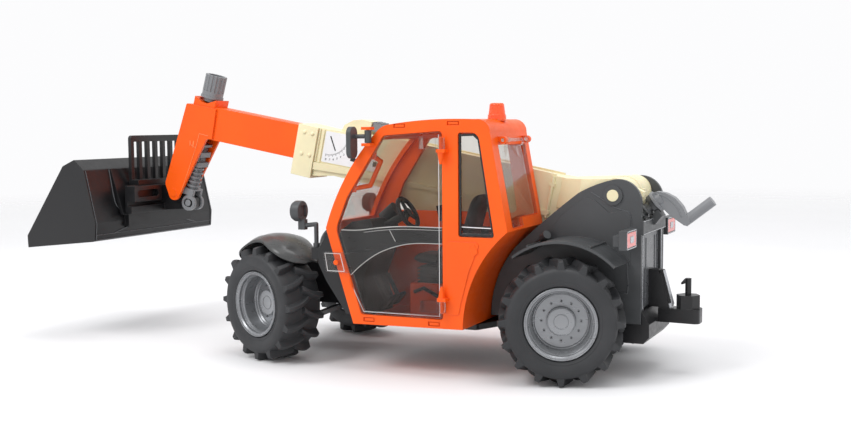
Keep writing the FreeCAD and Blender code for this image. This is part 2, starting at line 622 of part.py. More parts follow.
def rear_window():
    """Clear pane that swings up about two pegs under the roof's rear edge."""
    low, high = (30.9, 88.6), (38.6, 127.4)
    across = (CAB_RIGHT + 6.6, CAB_LEFT - FRAME_THICK - 5.6)
    outward = vec(-(high[1] - low[1]), 0, high[0] - low[0])
    outward.normalize()
    pane = side_profile([low, high, (high[0] - 1.4, high[1] + 0.3), (low[0] - 1.4, low[1] + 0.3)], across)
    slope = (high[0] - low[0]) / (high[1] - low[1])
    foot_z = 83.6
    foot_x = low[0] - slope * (low[1] - foot_z)
    foot = side_profile([(foot_x, foot_z), (low[0] + slope, low[1] + 1), (low[0] + slope - 1.4, low[1] + 1.3),
                         (foot_x - 1.4, foot_z + 0.3)], (SILL_STEP + 0.6, across[1]))
    pane = union([pane, foot])
    pane.translate(outward * 0.2)
    hooks = []
    for y in (19.2, 49.4):
        hooks.append(side_profile([(37.0, 121.0), (38.0, 126.5), (37.0, 127.0),
                                   (WINDOW_HINGE[0] + 0.8, WINDOW_HINGE[1] - 0.6),
                                   (WINDOW_HINGE[0] - 1.0, WINDOW_HINGE[1] - 1.6), (35.2, 121.6)],
                                  (y, y + 3)))
        hooks.append(bar_y(WINDOW_HINGE[0], WINDOW_HINGE[1], 1.9, (y, y + 3)))
    peg = bar_y(WINDOW_HINGE[0], WINDOW_HINGE[1], 1.0, (15.8, 55.8))
    return union([pane, peg] + hooks)


def door_panel():
    """Clear door leaf with a moulded edge bead."""
    face_y = CAB_LEFT - 2.2
    leaf = slab(door_outline(face_y, 0.5), 1.6)
    bead = slab(door_outline(face_y + 1.4, 0.5), 0.7).cut(slab(door_outline(face_y + 1, 2.2), 2))
    latch = side_profile([(122.4, 56.2), (137.6, 56.2), (139.4, 67.6), (125.8, 67.6)],
                         (CAB_LEFT + 0.2, CAB_LEFT + 1.8), 1)
    latch_foot = side_profile([(121.0, 56.6), (127.0, 56.6), (129.4, 67.0), (123.4, 67.0)],
                              (face_y + 1.4, CAB_LEFT + 1.8)).common(slab(door_outline(face_y, 0.5), 8))
    return union([leaf, bead, latch, latch_foot])


def door_fittings():
    """Two clear hinge blocks on the door's rear edge."""
    blocks = []
    for z in ((HINGE_Z[0] + 0.2, HINGE_Z[0] + 6.2), (HINGE_Z[1] - 6.2, HINGE_Z[1] - 0.2)):
        arm = box((HINGE_X, 77.5), (CAB_LEFT + 0.3, HINGE_Y + 1.5), z)
        foot = box((70.0, 77.5), (CAB_LEFT - 0.6, CAB_LEFT + 0.4), z)
        eye = bar_z(HINGE_X, HINGE_Y, 2.3, z)
        bore = bar_z(HINGE_X, HINGE_Y, HINGE_PIN + RUNNING, (z[0] - 1, z[1] + 1))
        blocks.append(union([arm, foot, eye]).cut(bore))
    return blocks


def front_panel():
    """Black nose under the windshield with the left lamp's bracket."""
    x, y = LEFT_LAMP
    nose = side_profile([(123.0, 31.6), (128.5, 31.6), (141.5, 50.0), (146.6, 60.0), (146.6, 68.0), (139.0, 79.0),
                         (138.0, 79.0)], (14.0, 61.0), [0, 1, 4, 4, 2, 1, 0])
    nose = nose.cut(slab(cab_outline(0), 70)).cut(box((100, 160), (0, 18.2), (20, 60.2)))
    nose = nose.cut(bar_z(x, y, 3.0, (68.6, 90)))
    bracket = box((144.0, x + 2.2), (y - 2.2, y + 2.2), (61.5, 68.6))
    return union([nose, bracket]).cut(bar_z(x, y, 1.0 + RUNNING, (60, 70)))


def right_lamp_bracket():
    """Bracket of the right lamp, on the hood's front face."""
    x, y = RIGHT_LAMP
    block = side_profile([(131.0, 60.2), (x + 2.2, 61.5), (x + 2.2, 68.6), (131.0, 68.6)], (y - 2.2, y + 2.2))
    return block


def lamp(x, y):
    """Round work lamp on a cranked stalk that swivels in its bracket."""
    head_x, head_z = x + 12.0, 89.4
    stalk = [bar_z(x, y, 1.0, (62.5, 69.0)), bar_z(x, y, 1.9, (68.8, 71.0)),
             bar_z(x, y, 1.3, (70.0, 82.0)), Part.makeSphere(1.3, vec(x, y, 82.0)),
             rod((x, y, 82.0), (x + 7.8, y, 81.0), 1.3),
             box((x + 6.8, x + 11.2), (y - 1.7, y + 1.7), (78.6, 84.6))]
    rear = rod((head_x - 3.4, y, head_z), (head_x + 1.8, y, head_z), 6.1)
    front = rod((head_x + 1.6, y, head_z), (head_x + 2.6, y, head_z), 5.3)
    recess = box((head_x - 3.6, head_x - 2.6), (y - 3.0, y + 3.0), (head_z - 3.2, head_z + 3.2))
    return union(stalk + [rear.makeFillet(0.8, [rear.Edges[0], rear.Edges[2]]), front]).cut(recess)


def mirror():
    x, y = MIRROR_AXIS
    barrel = bar_z(x, y, 1.9, (129.4, 136.4))
    arm = rod((x, y, 133.0), (x + 9.6, y, 133.0), 1.2)
    points = [(y - 3.0, 120.8), (y + 5.2, 120.8), (y + 5.2, 138.4), (y - 3.0, 138.4)]
    plate = front_profile(points, (x + 8.2, x + 11.0), 3.9)
    return union([barrel, arm, plate]).cut(bar_z(x, y, 1.0 + RUNNING, (128, 138)))


def beacon():
    base = Part.makeCone(5.3, 5.0, 3.4, vec(45.0, 38.0, 141.0))
    lens = Part.makeCone(4.7, 3.9, 6.6, vec(45.0, 38.0, 144.2))
    whole = union([base, lens.makeFillet(1.2, [lens.Edges[0]])])
    return whole.cut(slab(cab_outline(20), 40))


def seat_base():
    plinth = box((60.0, 94.0), (26.0, 50.0), (29.9, 46.0))
    bellows = box((64.0, 90.0), (28.0, 48.0), (46.0, 59.0))
    return union([plinth, bellows]).common(slab(cab_cavity(10), 60))


def seat():
    cushion = side_profile([(62.0, 59.0), (93.0, 59.0), (93.0, 66.0), (62.0, 64.0)], (27.0, 49.0), 2)
    back = side_profile([(62.5, 62.0), (68.5, 66.0), (58.5, 102.0), (52.0, 104.0), (48.5, 100.0)], (28.0, 48.0), 2)
    return union([cushion, back])


def steering_wheel():
    """Three-spoke wheel with a stub that turns in the column."""
    ring = turned([(8.0, 0.9), (8.0, -0.9), (9.0, -1.4), (10.4, -0.9), (10.4, 0.9), (9.0, 1.4)], 0.5)
    hub = Part.makeCylinder(2.6, 2.4, vec(0, 0, -1.4))
    stub = Part.makeCylinder(1.0, 5.2, vec(0, 0, 0.8))
    spoke = box((0, 8.6), (-1.0, 1.0), (-0.7, 0.7))
    spokes = []
    for k in range(3):
        turned_spoke = spoke.copy()
        turned_spoke.rotate(vec(0, 0, 0), Z_AXIS, 60 + 120 * k)
        spokes.append(turned_spoke)
    wheel = union([ring, hub, stub] + spokes)
    wheel.rotate(vec(0, 0, 0), Y_AXIS, math.degrees(math.atan2(COLUMN.x, COLUMN.z)))
    wheel.translate(vec(*STEERING_CENTRE))
    return wheel


def dashboard():
    """Console behind the windshield with the instrument pod and the steering column."""
    console = side_profile([(118.0, 30.0), (121.0, 52.0), (112.0, 74.0), (116.0, 86.0), (128.0, 84.0),
                            (134.5, 79.5), (119.8, 30.0)], (22.0, 54.0), [0, 3, 3, 2, 2, 0, 0])
    centre = vec(*STEERING_CENTRE)
    column = Part.makeCylinder(2.4, 22.0, centre + COLUMN * 2.2, COLUMN)
    pod = rod((111.0, 30.5, 90.5), (119.0, 30.5, 84.0), 4.4)
    body = union([console, column, pod])
    return body.cut(Part.makeCylinder(1.0 + RUNNING, 5.2, centre + COLUMN * 1.0, COLUMN)).common(
        slab(cab_cavity(10), 60))


def pedals():
    solids = []
    for y in (30.0, 38.0, 46.0):
        stem = side_profile([(118.4, 52.0), (116.4, 52.0), (108.6, 37.4), (110.6, 36.2)], (y - 0.9, y + 0.9))
        pad = side_profile([(106.4, 40.4), (111.8, 33.6), (113.2, 34.7), (107.8, 41.5)], (y - 2.8, y + 2.8), 0.5)
        solids.append(union([stem, pad]))
    return solids


def control_lever():
    console = side_profile([(58.0, 29.9), (88.0, 29.9), (88.0, 66.0), (80.0, 74.0), (58.0, 72.0)], (13.0, 23.0), 2)
    stick = rod((83.0, 18.0, 69.0), (87.0, 18.0, 86.0), 1.3)
    grip = rod((86.4, 18.0, 83.0), (88.4, 18.0, 92.0), 2.5)
    rest = side_profile([(56.0, 76.0), (78.0, 78.0), (78.0, 81.0), (56.0, 79.5)], (13.0, 22.0), 1)
    post = box((60.0, 64.0), (16.0, 19.0), (71.0, 77.5))
    return union([console, stick, grip, rest, post]).common(slab(cab_cavity(10), 60))


# ---------- boom

def boom_side(points, half):
    """A prism in the boom frame, centred on the boom's plane."""
    return side_profile(points, (BOOM_Y - half, BOOM_Y + half))


def outer_boom():
    top = [(0, 9.0), (33, 1.0), (141, -0.6), (197.5, -4.2)]
    bottom = [(197.5, -31.4), (139.5, -31.0), (121, -39.2), (60, -40.5), (22, -26.0), (0, -9.0)]
    web = boom_side(top + bottom, BOOM_HALF)
    flare_side = side_profile([(0, 9.2), (33, 1.2), (37, 1.0), (37, -17), (0, -9.2)], (-23.1, 23.1))
    flare_plan = plan_profile([(0, -23.1), (12, -23.1), (36, -12), (36, 6), (20, 22.0), (12, 23.1), (0, 23.1)],
                              (-30, 20))
    barrel = bar_y(0, 0, BARREL_RADIUS, (-23.1, 23.1))
    flange = boom_side([(197.5, -25.8), (168, -24.0), (107, -22.6), (40, -20.0), (40, -22.6), (107, -25.2),
                        (168, -27.9), (197.5, -30.6)], BOOM_HALF + 1.3)
    keel = boom_side([(180, -31.0), (197.5, -31.0), (197.5, -35.0)], BOOM_HALF)
    rails = [box((40, 190), (y - 0.9, y + 0.9), (-1.4, 1.8)).common(
        side_profile([(40, -3), (40, 1.9), (141, 0.4), (190, -2.6), (190, -5.4)], (-20, 20)))
        for y in (BOOM_Y - BOOM_HALF + 0.9, BOOM_Y + BOOM_HALF - 0.9)]
    hood = boom_side([(183, -3.6), (181.5, 1.0), (176, 5.0), (170.5, 6.6), (163.2, 6.6), (163.2, -2.8)], 6.2)
    ribs = [box((u, u + 1.6), (BOOM_Y - BOOM_HALF - 0.7, BOOM_Y + BOOM_HALF + 0.7), (-25.4, -4.4))
            for u in (192.6, 195.4)]
    pipe = [bar_z(41.0, BOOM_Y + BOOM_HALF + 0.2, 1.1, (-24.0, 0.4))]
    clamp_y = (BOOM_Y + BOOM_HALF - 0.2, BOOM_Y + BOOM_HALF + 1.3)
    pipe += [box((39.2, 42.8), clamp_y, (z, z + 1.8)) for z in (-21.5, -5.5)]
    lug = side_profile([(-7.0, 5.6), (-13.2, 4.4), (-13.2, 1.0), (-7.0, 0.6)], (9.0, 15.0), 0.6)
    whole = union([web, flare_side.common(flare_plan), barrel, flange, keel, hood, lug] + rails + ribs + pipe)
    whole = whole.cut(bar_y(0, 0, PIVOT_PIN_RADIUS + RUNNING, (-30, 30)))
    whole = whole.cut(box((BOOM_LENGTH - 14.4, BOOM_LENGTH + 5), (-30, 30), (-60, 20)))
    stem = bar_z(BUTTON_U, BOOM_Y, 1.2 + RUNNING, (-10, 5))
    whole = on_boom(whole.cut(stem))
    whole = whole.cut(inner_boom_space())
    teeth = lift_sector()
    return union([whole, teeth]).cut(bar_y(BOOM_PIVOT[0], BOOM_PIVOT[1], PIVOT_PIN_RADIUS + RUNNING, (-30, 30)))


def inner_boom_space():
    half, height = INNER_HALF + GAP, INNER_HEIGHT / 2 + GAP
    return on_inner_boom(box((-184.5, 5.0), (-half, half), (-height, height)))


def sector_angle(index):
    """Direction of a tooth centre in the XZ plane; index 0.5 and -0.5 straddle the worm's thread."""
    towards_worm = 180.0 + CRANK_TILT
    return math.radians(towards_worm - 360.0 / SECTOR_TEETH * index)


def lift_sector():
    """Toothed sector on the tail barrel; teeth run from behind the barrel to below it."""
    root, tip, half_y = 9.5, 11.3, 1.5
    teeth = [bar_y(BOOM_PIVOT[0], BOOM_PIVOT[1], root, (-half_y, half_y))]
    for k in range(-2, 5):
        angle = sector_angle(k - 0.5)
        radial = vec(math.cos(angle), 0, math.sin(angle))
        tangent = vec(-math.sin(angle), 0, math.cos(angle))
        corners = []
        for radius, half in ((root - 0.6, 1.0), (tip, 0.32), (tip, -0.32), (root - 0.6, -1.0)):
            corners.append(vec(BOOM_PIVOT[0], -half_y, BOOM_PIVOT[1]) + radial * radius + tangent * half)
        face = Part.Face(Part.makePolygon(corners + [corners[0]]))
        teeth.append(face.extrude(vec(0, 2 * half_y, 0)))
    return union(teeth)


def boom_collar():
    """Sleeve at the boom's mouth with four domed rivets on each side."""
    sleeve = boom_side([(BOOM_LENGTH - 14.2, -4.2), (BOOM_LENGTH - 14.2, -36.2), (BOOM_LENGTH, -36.4),
                        (BOOM_LENGTH, -4.2)], BOOM_HALF + 2.0)
    rivets = []
    for u, w in ((206.0, -8.6), (200.2, -8.6), (205.6, -22.2), (199.8, -22.2)):
        for side in (1, -1):
            dome = Part.makeSphere(1.6, vec(u, BOOM_Y + side * (BOOM_HALF + 1.3), w))
            rivets.append(dome)
    return on_boom(union([sleeve] + rivets)).cut(inner_boom_space())


def dial_plate():
    face_y = BOOM_Y + BOOM_HALF
    plate = side_profile([(191.6, -4.9), (191.6, -24.4), (152.0, -22.6), (158.0, -3.2)], (face_y, face_y + 0.5),
                         [0.6, 0.6, 0.6, 0.6])
    return on_boom(plate)


def lock_button():
    head = boom_side([(BUTTON_U - 4.4, 1.0), (BUTTON_U - 4.4, 4.0), (BUTTON_U - 1.0, 6.4), (BUTTON_U + 4.5, 6.6),
                      (BUTTON_U + 4.5, 1.0)], 5.2)
    starts = [BUTTON_U - 1.4, BUTTON_U + 0.8, BUTTON_U + 3.0]
    ribs = [box((u, u + 1.0), (BOOM_Y - 5.2, BOOM_Y + 5.2), (5.0, 7.0)) for u in starts]
    stem = bar_z(BUTTON_U, BOOM_Y, 1.2, (-2.2, 1.4))
    return on_boom(union([head, stem] + ribs))


def boom_pivot_pin():
    return bar_y(BOOM_PIVOT[0], BOOM_PIVOT[1], PIVOT_PIN_RADIUS, (-27.6, 27.6))


def head_walls():
    """Drop head: two side walls, front web and a crowned top, on the inner boom's end."""
    half = INNER_HALF + 1.4
    outline = [(253.4, 150.4), (276.4, 154.6), (295.6, 101.4), (291.5, 90.2), (286.0, 90.2), (261.6, 130.8),
               (257.2, 130.6)]
    solid = side_profile(outline, (BOOM_Y - half, BOOM_Y + half), [0.6, 1.2, 4, 4.2, 4.2, 0.6, 0.4])
    pocket = side_profile([(258.6, 120), (259.5, 141.5), (268.0, 143.0), (288.0, 104.0), (296.0, 80), (270, 80)],
                          (BOOM_Y - half + 1.9, BOOM_Y + half - 1.9))
    return solid.cut(pocket)


def inner_boom():
    """Sliding orange beam and drop head in one moulding."""
    beam = on_inner_boom(box((-122.0, 66.0), (-INNER_HALF, INNER_HALF), (-INNER_HEIGHT / 2, INNER_HEIGHT / 2)))
    ridge = on_inner_boom(box((4.0, 62.0), (-3.0, 3.0), (INNER_HEIGHT / 2 - 0.2, INNER_HEIGHT / 2 + 0.1)))
    collar = on_tilt_axis(union([
        side_profile([(-8.6, -8.0), (-8.6, 0.6), (-2.0, -3.2), (2.0, -3.2), (8.2, -0.6), (8.2, -8.0)], (-7.4, 7.4))]))
    head = union([beam, ridge, head_walls(), collar])
    bore = on_tilt_axis(Part.makeCylinder(SPINDLE_RADIUS + RUNNING, 60, vec(0, 0, -50)))
    seat_cut = on_tilt_axis(Part.makeCylinder(7.4, 20, vec(0, 0, -2.4)))
    link_space = on_tilt_axis(box((-5.4, 5.4), (-6.6, 6.6), (-76, -18.0)))
    pin_hole = bar_y(COUPLER_PIVOT[0], COUPLER_PIVOT[1], 2.4 + RUNNING, (-30, 30))
    tilt_space = bar_y(TILT_PIN[0], TILT_PIN[1], 7.4, (BOOM_Y - 6.7, BOOM_Y + 6.7))
    tongue_space = bar_y(COUPLER_PIVOT[0], COUPLER_PIVOT[1], 13.0,
                         (BOOM_Y - TONGUE_HALF - GAP, BOOM_Y + TONGUE_HALF + GAP))
    return head.cut(bore).cut(seat_cut).cut(link_space).cut(pin_hole).cut(tilt_space).cut(tongue_space)


def tilt_knob():
    """Fluted knob with its threaded spindle."""
    knob = Part.makeCylinder(7.0, 13.8, vec(0, 0, 1.6))
    flutes = []
    for k in range(16):
        angle = 2 * math.pi * k / 16
        flutes.append(Part.makeCylinder(0.85, 12, vec(7.3 * math.cos(angle), 7.3 * math.sin(angle), 4.6)))
    knob = knob.cut(Part.makeCompound(flutes)).cut(Part.makeCylinder(5.2, 2.6, vec(0, 0, 13.0)))
    flange = Part.makeCylinder(7.5, 1.4, vec(0, 0, 0.2))
    neck = Part.makeCylinder(5.2, 2.6, vec(0, 0, -2.2))
    spindle = Part.makeCylinder(SPINDLE_RADIUS, 52.0, vec(0, 0, -52.0))
    return on_tilt_axis(union([knob, flange, neck, spindle]))


def tilt_pin_slot():
    """Slot square to the spindle for the tilt pin, which swings on an arc while the link slides."""
    lean = math.radians(TILT_LEAN)
    from_knob = (TILT_PIN[0] - KNOB_BASE[0], TILT_PIN[1] - KNOB_BASE[1])
    across = from_knob[0] * math.cos(lean) + from_knob[1] * math.sin(lean)
    down = from_knob[1] * math.cos(lean) - from_knob[0] * math.sin(lean)
    half = TILT_PIN_RADIUS + 0.3
    start, end = across - 0.65, across + 0.95
    parts = [bar_y(x, down, half, (-10, 10)) for x in (start, end)]
    parts.append(box((start, end), (-10, 10), (down - half, down + half)))
    return on_tilt_axis(union(parts))


def tilt_link():
    """Grey slider on the spindle: window block, ribbed sleeve and a two-ring fork for the tilt pin."""
    block = box((-4.6, 4.6), (-5.6, 5.6), (-46.5, -31.0))
    windows = [box((-5.0, -1.6), (-6, 6), (z, z + 3.6)) for z in (-36.2, -43.2)]
    sleeve = Part.makeCylinder(3.6, 17.0, vec(0, 0, -63.0))
    rings = [Part.makeCylinder(4.8, 1.3, vec(0, 0, -60.6 + 3.0 * k)) for k in range(5)]
    body = union([block.cut(Part.makeCompound(windows)), sleeve] + rings)
    body = body.cut(Part.makeCylinder(SPINDLE_RADIUS + RUNNING, 42.0, vec(0, 0, -61.5)))
    body = on_tilt_axis(body)
    neck = on_tilt_axis(box((-4.6, 4.0), (-5.4, 5.4), (-66.5, -62.0)))
    rings = [bar_y(TILT_PIN[0], TILT_PIN[1], 5.2, (BOOM_Y + y, BOOM_Y + y + 2.2)) for y in (-5.4, 3.2)]
    fork_space = on_tilt_axis(box((-9, 9), (-3.1, 3.1), (-80, -63.0)))
    return union([body, neck] + rings).cut(fork_space).cut(tilt_pin_slot())


def carrier_bar(side):
    """Half of the upper bar, with a round-ended slot along it."""
    ends = sorted((BOOM_Y + side * (INNER_HALF + 2.2), BOOM_Y + side * CARRIER_HALF))
    low, high, slot_low, slot_high = 90.6, 100.6, 93.2, 98.0
    bar = box((298.0, 305.0), ends, (low, high))
    middle, half_height = (slot_low + slot_high) / 2, (slot_high - slot_low) / 2
    inner, outer = ends[0] + 3 + half_height, ends[1] - 3 - half_height
    depth = (297.0, 302.0)
    slot = [box(depth, (inner, outer), (slot_low, slot_high))]
    slot += [rod((depth[0], y, middle), (depth[1], y, middle), half_height) for y in (inner, outer)]
    return bar.cut(union(slot))


def coupler():
    """Black tool carrier: a tongue inside the head, a back plate, a slotted upper bar and a lower bar."""
    tongue_y = (BOOM_Y - TONGUE_HALF, BOOM_Y + TONGUE_HALF)
    tongue = side_profile([(275.6, 84.6), (302.0, 83.0), (306.0, 83.0), (306.0, 100.0), (289.0, 100.2),
                           (281.6, 93.0), (275.6, 92.0)], tongue_y, [3.4, 2, 0, 0, 4.8, 3, 3.4])
    across = (BOOM_Y - CARRIER_HALF, BOOM_Y + CARRIER_HALF)
    lower = box((301.0, 306.0), across, (82.8, 87.4))
    back = box((304.0, 306.0), across, (82.8, 101.0))
    body = union([tongue, lower, back, carrier_bar(1), carrier_bar(-1)])
    body = body.cut(bar_y(COUPLER_PIVOT[0], COUPLER_PIVOT[1], 2.4, (-30, 30)))
    return body.cut(bar_y(TILT_PIN[0], TILT_PIN[1], TILT_PIN_RADIUS, (-30, 30)))


def coupler_pins():
    across_head, across_link = INNER_HALF + 1.4, 5.6
    return [bar_y(COUPLER_PIVOT[0], COUPLER_PIVOT[1], 2.4, (BOOM_Y - across_head, BOOM_Y + across_head)),
            bar_y(TILT_PIN[0], TILT_PIN[1], TILT_PIN_RADIUS, (BOOM_Y - across_link, BOOM_Y + across_link))]


def load_guard():
    """Slatted rack that stands on the coupler and steps forward over the bucket's recess."""
    half, bars = 26.4, 7
    x = (308.8, 311.2)
    ends = (BOOM_Y - half, BOOM_Y + half)
    rack = [box((303.6, x[1]), ends, (101.0, 104.2)), box((303.6, 306.0), ends, (101.0, 103.0))]
    rack.append(front_profile([(ends[0], 129.4), (ends[1], 129.4), (ends[1], 133.6), (ends[0], 133.6)], x,
                              [0, 0, 2.4, 2.4]))
    pitch = (2 * half - 3.0) / (bars - 1)
    for k in range(bars):
        y = ends[0] + 1.5 + k * pitch
        rack.append(box(x, (y - 1.5, y + 1.5), (102.0, 131.0)))
    return union(rack).cut(coupler())


def bucket():
    """Wide loader bucket: side plates, curved back with a centre recess, floor and cutting edge."""
    outline = [(310.0, 66.6), (365.2, 61.0), (365.6, 68.8), (334.2, 114.4), (324.6, 118.6), (317.2, 112.0),
               (309.2, 78.0)]
    y = (BOOM_Y - BUCKET_HALF, BOOM_Y + BUCKET_HALF)
    block = side_profile(outline, y, [1.5, 0.4, 0.4, 0.8, 0.8, 2, 3])
    between = (y[0] + 1.8, y[1] - 1.8)
    hollow = side_profile([(313.0, 69.2), (370.0, 63.4), (370.0, 75.0), (336.6, 120.0), (327.0, 121.0),
                           (319.6, 110.6), (312.4, 79.0)], between, [4, 0, 0, 0, 0, 3, 6])
    opening = side_profile([(366.5, 70.2), (366.5, 120.0), (333.0, 120.0), (335.4, 115.0)], between)
    shell = block.cut(hollow).cut(opening)
    recess_y = (BOOM_Y - RECESS_HALF, BOOM_Y + RECESS_HALF)
    hole = side_profile([(306.0, 82.6), (306.2, 110.6), (316.2, 110.6), (311.0, 82.6)], recess_y)
    rib_low = box((306.2, 315.0), (BOOM_Y - 34, BOOM_Y + 34), (74.0, 82.4))
    rib_back = side_profile([(306.2, 82.0), (308.4, 82.0), (320.0, 112.0), (316.0, 112.0)], recess_y)
    lip = box((359.0, 365.4), y, (61.6, 64.0))
    edge = lip.common(side_profile(outline, y))
    shell = shell.cut(hole)
    inside = side_profile([(312.6, 69.8), (362.0, 66.0), (334.0, 112.0), (319.8, 110.4), (312.6, 79.0)],
                          (y[0] + 2, y[1] - 2))
    return union([shell, rib_low.cut(inside), rib_back, edge])


# ---------- crank

def crank():
    """Hand crank: flanged hub, curved arm and a grip parallel to the axis."""
    hub = union([Part.makeCylinder(6.1, 1.8, vec(0, 0, 10.5)), Part.makeCylinder(4.2, 3.4, vec(0, 0, 11.8))])
    arm = side_profile([(4.8, 12.2), (4.4, 15.0), (0.5, 18.6), (-4.5, 20.9), (-10.5, 21.4), (-15.3, 20.4),
                        (-20.9, 19.8), (-20.9, 16.2), (-16.0, 14.6), (-10.7, 12.9), (-5.8, 12.2)],
                       (-3.0, 3.0), [0.5, 3, 6, 6, 6, 0.8, 0.8, 2.2, 8, 8, 1])
    grip = Part.makeCylinder(2.9, 19.6, vec(-CRANK_RADIUS, 0, 16.4))
    return on_crank_axis(union([hub, arm, grip]).cut(Part.makeCylinder(1.6, 5.0, vec(0, 0, 10))))


def worm():
    """Single-start right-hand worm on its shaft; a thread flank meets the sector at z = 0."""
    core_radius, tip_radius, turns = WORM_PITCH_RADIUS - 1.0, WORM_PITCH_RADIUS + 0.8, 4
    length = WORM_LEAD * turns
    helix = Part.makeHelix(WORM_LEAD, length, core_radius)
    sunk = core_radius - 0.4
    corners = [vec(sunk, 0, -0.95), vec(tip_radius, 0, -0.32), vec(tip_radius, 0, 0.32), vec(sunk, 0, 0.95)]
    profile = Part.makePolygon(corners + [corners[0]])
    thread = Part.Wire(helix).makePipeShell([profile], True, True)
    thread.translate(vec(0, 0, -length / 2))
    core = Part.makeCylinder(core_radius, 17.0, vec(0, 0, -9.6))
    shaft = Part.makeCylinder(2.4, 3.3, vec(0, 0, 7.2))
    journal = Part.makeCylinder(2.0, 3.8, vec(0, 0, -13.2))
    spigot = Part.makeCylinder(1.6, 4.6, vec(0, 0, 10.4))
    return on_crank_axis(core.fuse([shaft, journal, spigot, thread]))


def build_chassis():
    save("chassis_frame", chassis_frame())
    for name, side in (("left", 1), ("right", -1)):
        save("side_plate_" + name, side_plate(side))
    save("lamp_left", lamp(*LEFT_LAMP))
    save("lamp_right", lamp(*RIGHT_LAMP))
    save("rear_panel", rear_panel())
    save("rear_bumper", rear_bumper())
    save("tail_light_housings", tail_light_housing(1), tail_light_housing(-1))
    save("tail_light_lenses", tail_light_lens(1), tail_light_lens(-1))
    save("hitch_bracket", hitch_bracket())
    save("hitch_pin", hitch_pin())
    hood = union([engine_hood(), right_lamp_bracket().cut(engine_hood())])
    save("engine_hood", hood.cut(bar_z(*RIGHT_LAMP, 1.0 + RUNNING, (60, 70))))


def build_cab():
    save("cab_shell", cab_shell())
    save("cab_side_frame", cab_side_frame())
    save("cab_glazing", glazing(), right_pane())
    save("side_window", side_window())
    save("rear_window", rear_window())
    save("door_panel", door_panel())
    save("door_hinges", *door_fittings())
    save("front_panel", front_panel())
    save("mirror", mirror())
    save("beacon", beacon())
    save("seat_base", seat_base())
    save("seat", seat())
    save("steering_wheel", steering_wheel())
    save("dashboard", dashboard())
    save("pedals", *pedals())
    save("control_lever", control_lever())


def build_boom():
    save("outer_boom", outer_boom())
    save("boom_collar", boom_collar())
    save("dial_plate", dial_plate())
    save("lock_button", lock_button())
    save("boom_pivot_pin", boom_pivot_pin())
    save("inner_boom", inner_boom())
    save("tilt_knob", tilt_knob())
    save("tilt_link", tilt_link())
    save("coupler", coupler())
    save("coupler_pins", *coupler_pins())
    save("load_guard", load_guard())
    save("bucket", bucket())
    save("crank", crank())
    save("worm", worm())


os.makedirs(OUT, exist_ok=True)
build_corners()
build_chassis()
build_cab()
build_boom()
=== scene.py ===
"""Looks of a toy telescopic handler with a loader bucket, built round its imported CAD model.

Places are written in vehicle millimetres: x forward from the rear axle, y to the driver's left, z up
from the ground. at() turns them into the frame's metres.
"""
import json
import math

import bmesh
import bpy
from mathutils import Matrix, Vector


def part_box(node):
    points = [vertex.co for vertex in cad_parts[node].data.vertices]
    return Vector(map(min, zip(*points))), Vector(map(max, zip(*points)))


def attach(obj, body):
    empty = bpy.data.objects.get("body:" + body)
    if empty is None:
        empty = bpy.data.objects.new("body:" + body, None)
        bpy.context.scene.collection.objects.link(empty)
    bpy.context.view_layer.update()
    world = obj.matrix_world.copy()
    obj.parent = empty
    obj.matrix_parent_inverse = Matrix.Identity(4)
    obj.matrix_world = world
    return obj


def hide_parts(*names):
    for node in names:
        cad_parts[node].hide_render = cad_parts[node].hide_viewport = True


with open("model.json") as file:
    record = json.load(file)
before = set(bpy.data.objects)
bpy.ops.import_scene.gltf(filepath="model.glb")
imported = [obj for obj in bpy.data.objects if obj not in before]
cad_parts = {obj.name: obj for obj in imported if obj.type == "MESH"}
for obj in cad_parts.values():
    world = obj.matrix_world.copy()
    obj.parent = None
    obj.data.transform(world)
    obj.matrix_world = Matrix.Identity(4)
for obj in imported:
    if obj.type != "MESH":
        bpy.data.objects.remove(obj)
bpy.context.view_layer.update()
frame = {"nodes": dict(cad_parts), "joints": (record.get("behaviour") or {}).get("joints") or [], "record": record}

MM = 0.001
REAR_AXLE_X = 6.4                       # middle of the rear axle beam, in vehicle millimetres
BOOM_ANGLE = 12.2                       # degrees above horizontal, as the boom stands
BOOM_Y = -3.0                           # the boom's middle plane
BOOM_HALF = 9.0                         # half the outer boom's width
CAB_LEFT = 66.0                         # outer face of the cab's left side frame
TYRE_RADIUS = 34.0
SIDES = (("left", 1), ("right", -1))


def middle(node):
    """The middle of a CAD node's box, in metres."""
    low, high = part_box(node)
    return (low + high) / 2


ORIGIN = Vector((middle("rear_axle_beam").x - REAR_AXLE_X * MM, 0, 0))
BOOM_PIVOT = (middle("boom_pivot_pin") - ORIGIN) / MM


def at(x, y, z):
    """A point given in vehicle millimetres, in the frame's metres."""
    return ORIGIN + Vector((x, y, z)) * MM


def joint_place(name):
    """Where a joint's axis passes, in vehicle millimetres."""
    metres = next(joint["pos_m"] for joint in frame["joints"] if joint["name"] == name)
    return (Vector(metres) - ORIGIN) / MM


def on_boom(u, w):
    """(x, z) of a point given along and across the boom."""
    angle = math.radians(BOOM_ANGLE)
    return (BOOM_PIVOT.x + u * math.cos(angle) - w * math.sin(angle),
            BOOM_PIVOT.z + u * math.sin(angle) + w * math.cos(angle))


# ---------- camera

CAMERA_PLACE = (-183.4, 634.3, 139.2)
CAMERA_TURN = (24.61, 4.73, -0.46)      # degrees forwards from straight across, down, and of roll
SENSOR_WIDTH = 36.0
FOCAL_LENGTH = 48.6148
CAMERA_SHIFT = (0.001645, 0.009636)     # shares of the picture's width


